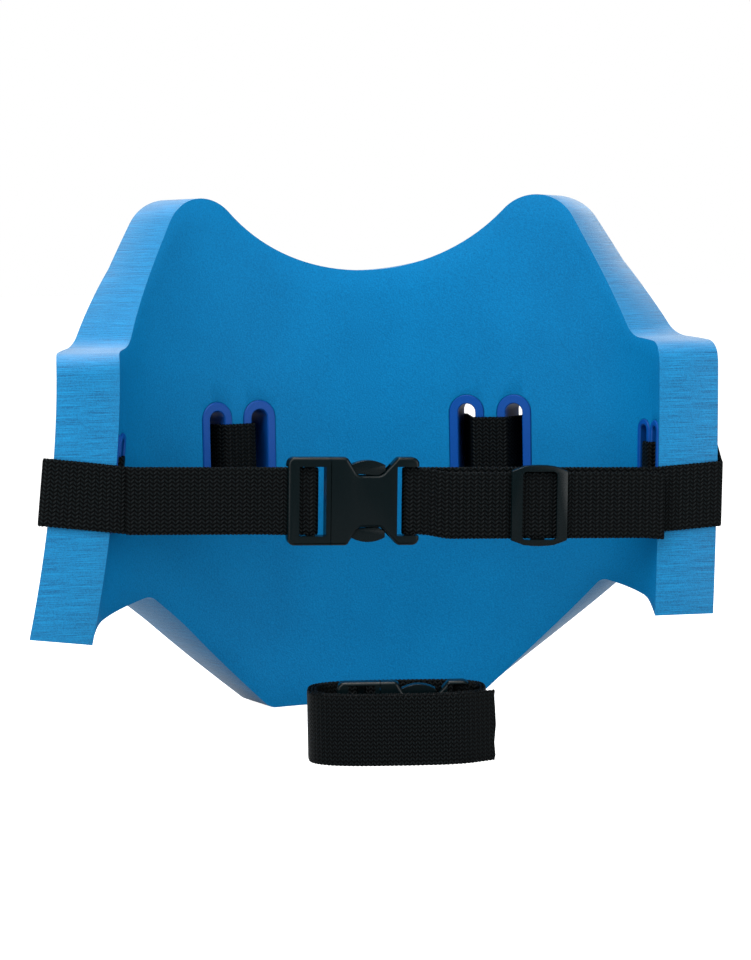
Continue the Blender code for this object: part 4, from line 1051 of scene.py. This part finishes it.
def moulded(name, dark, light, roughness, specular):
    """Moulded plastic with a fine spark-eroded texture."""
    mat, tree, node, shader = new_shader(name, roughness, specular)
    place = node("ShaderNodeTexCoord").outputs["Object"]
    grain = noise(node, place, PLASTIC_GRAIN)
    tree.links.new(ramp(node, grain, dark, light, 0.3, 0.7), shader.inputs["Base Color"])
    bump(tree, node, shader, grain, distance=0.1 * MM, strength=0.3)
    return mat


# ---- making the pieces ----
def settle(obj, body, nodes):
    """Give a piece its final mesh in the shared frame and let it ride on a body in place of CAD nodes."""
    bpy.context.view_layer.update()
    depsgraph = bpy.context.evaluated_depsgraph_get()
    final = bpy.data.meshes.new_from_object(obj.evaluated_get(depsgraph))
    final.transform(obj.matrix_world)
    obj.parent = None
    obj.modifiers.clear()
    obj.data = final
    obj.matrix_world = Matrix.Identity(4)
    final.shade_smooth()
    final.set_sharp_from_angle(angle=FINAL_SHARP)
    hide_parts(*nodes)
    if body:
        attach(obj, body)
    return obj


def light(name, place, target, size, watts):
    lamp = bpy.data.lights.new(name, 'AREA')
    lamp.size = size
    lamp.energy = watts
    obj = bpy.data.objects.new(name, lamp)
    obj.location = place
    obj.rotation_euler = (Vector(target) - Vector(place)).to_track_quat('-Z', 'Y').to_euler()
    bpy.context.scene.collection.objects.link(obj)


def make_camera():
    """Camera a little left of the belt and above it, looking slightly right and down."""
    data = bpy.data.cameras.new("camera")
    data.lens = CAMERA_LENS
    data.sensor_width = CAMERA_SENSOR
    data.clip_start, data.clip_end = 0.05, 50
    obj = bpy.data.objects.new("camera", data)
    flat = cos(CAMERA_PITCH)
    forward = Vector((sin(CAMERA_YAW) * flat, cos(CAMERA_YAW) * flat, -sin(CAMERA_PITCH)))
    level = Vector((cos(CAMERA_YAW), -sin(CAMERA_YAW), 0))
    right = level * cos(CAMERA_ROLL) + level.cross(forward) * sin(CAMERA_ROLL)
    up = right.cross(forward)
    turn = Matrix((right, up, -forward)).transposed().to_4x4()
    obj.matrix_world = Matrix.Translation(CAMERA_PLACE) @ turn
    bpy.context.scene.collection.objects.link(obj)
    bpy.context.scene.camera = obj


def make_stage():
    """White floor and world for the camera, dimmer for everything else, with six soft lamps."""
    mat, tree, node, shader = new_shader("studio_floor", 0.9, 0.0)
    shader.inputs["Base Color"].default_value = (0.5, 0.5, 0.5, 1)
    shader.inputs["Emission Color"].default_value = (1, 1, 1, 1)
    tree.links.new(node("ShaderNodeLightPath").outputs["Is Camera Ray"], shader.inputs["Emission Strength"])
    bm = bmesh.new()
    floor_z = -TONGUE_DEPTH - FLOOR_GAP
    corners = [(-FLOOR_SIDE, FLOOR_NEAR), (FLOOR_SIDE, FLOOR_NEAR),
               (FLOOR_SIDE, FLOOR_FAR), (-FLOOR_SIDE, FLOOR_FAR)]
    bm.faces.new([bm.verts.new((x, y, floor_z)) for x, y in corners])
    add_object("floor", bm, mat)
    world = bpy.data.worlds.new("studio")
    bpy.context.scene.world = world
    world.use_nodes = True
    tree = world.node_tree
    tree.nodes.clear()
    seen = tree.nodes.new("ShaderNodeBackground")
    seen.inputs["Strength"].default_value = 1.0
    lit = tree.nodes.new("ShaderNodeBackground")
    lit.inputs["Strength"].default_value = WORLD_LIGHT
    for background in (seen, lit):
        background.inputs["Color"].default_value = (1, 1, 1, 1)
    mix = tree.nodes.new("ShaderNodeMixShader")
    path = tree.nodes.new("ShaderNodeLightPath")
    out = tree.nodes.new("ShaderNodeOutputWorld")
    tree.links.new(path.outputs["Is Camera Ray"], mix.inputs["Fac"])
    tree.links.new(lit.outputs[0], mix.inputs[1])
    tree.links.new(seen.outputs[0], mix.inputs[2])
    tree.links.new(mix.outputs[0], out.inputs["Surface"])
    light("rim", place=(-0.1, 0.5, 1.2), target=(0, -0.1, 0), size=0.5, watts=13)
    light("left_wall", place=(0.75, -0.7, 0.1), target=(-0.2, -0.02, -0.02), size=0.5, watts=3.6)
    light("right_wall", place=(-0.8, -0.6, 0.15), target=(0.2, -0.02, 0), size=0.5, watts=4.0)
    light("overhead", place=(-0.12, -0.35, 0.85), target=(0, -0.02, 0), size=0.7, watts=9.5)
    light("key", place=(-1.2, -1.1, 1.3), target=(0, -0.05, 0), size=1.0, watts=24)
    light("fill", place=(1.1, -1.3, 0.35), target=(0, -0.02, -0.03), size=1.3, watts=11)
    bpy.context.scene.view_settings.view_transform = 'Standard'


def main():
    skin, cut_face = foam_skin(), foam_cut()
    front_weave = woven("webbing_herringbone", WEAVE_ARM, WEAVE_ROW)
    roll_weave = woven("webbing_fine", WEAVE_ARM * ROLL_ARM_SHARE, WEAVE_ROW * ROLL_ROW_SHARE)
    plastic = moulded("buckle_plastic", PLASTIC_DARK, PLASTIC_LIGHT, 0.27, 0.1)
    blue = moulded("liner_plastic", LINER_DARK, LINER_LIGHT, 0.45, 0.1)

    foam = settle(make_float(skin, cut_face), "belt", ["foam_float"])
    for index, place in enumerate(slot_places(), 1):
        name = f"slot_liner_{index}"
        settle(make_liner(index, *place, blue), "belt", [name])
    band = settle(make_strap_main(front_weave), "belt", ["strap_main"])

    front = empty("front_run", (0, FRONT_Y, FRONT_Z), Matrix.Rotation(FRONT_TILT, 4, 'Y'))
    left, right = make_front_straps(front, front_weave)
    settle(left, None, ["strap_left"])
    settle(right, "belt", ["strap_right"])
    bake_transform(left)
    buckle = empty("buckle_split", (0, 0, 0), Matrix())
    buckle.parent = front
    buckle.location = front_point(BUCKLE_SPLIT, BUCKLE_MID, 0)
    pieces = make_buckle("buckle", buckle, 1.0, BUCKLE_RAIL, plastic)
    for obj, body in zip(pieces, ("belt", "plug_half", "release_upper", "release_lower")):
        settle(obj, body, [obj.name.removesuffix("_look")])
    settle(make_slider(front, plastic), "slider", ["strap_slider"])

    roll_z = -TONGUE_DEPTH + WEBBING_WIDTH / 2
    roll = empty("roll", (ROLL_X, ROLL_Y, roll_z), Matrix.Rotation(ROLL_TURN, 4, 'Z'))
    coil = settle(make_roll(roll, roll_weave), "roll", ["extension_strap"])
    inner = empty("roll_buckle_split", (0, 0, 0), Matrix())
    inner.parent = roll
    inner.location = (ROLL_BUCKLE_SPLIT, ROLL_BUCKLE_Y, ROLL_BUCKLE_LIFT)
    pieces = make_buckle("extension_buckle", inner, ROLL_BUCKLE_SCALE, ROLL_BUCKLE_RAIL, plastic)
    for obj, body in zip(pieces, ("roll", "roll", "extension_release_upper", "extension_release_lower")):
        settle(obj, body, [obj.name.removesuffix("_look")])
    for obj in list(bpy.data.objects):
        if obj.get("cutter"):
            bpy.data.objects.remove(obj)
    for helper in (front, buckle, roll, inner):
        bpy.data.objects.remove(helper)
    make_stage()
    make_camera()


main()
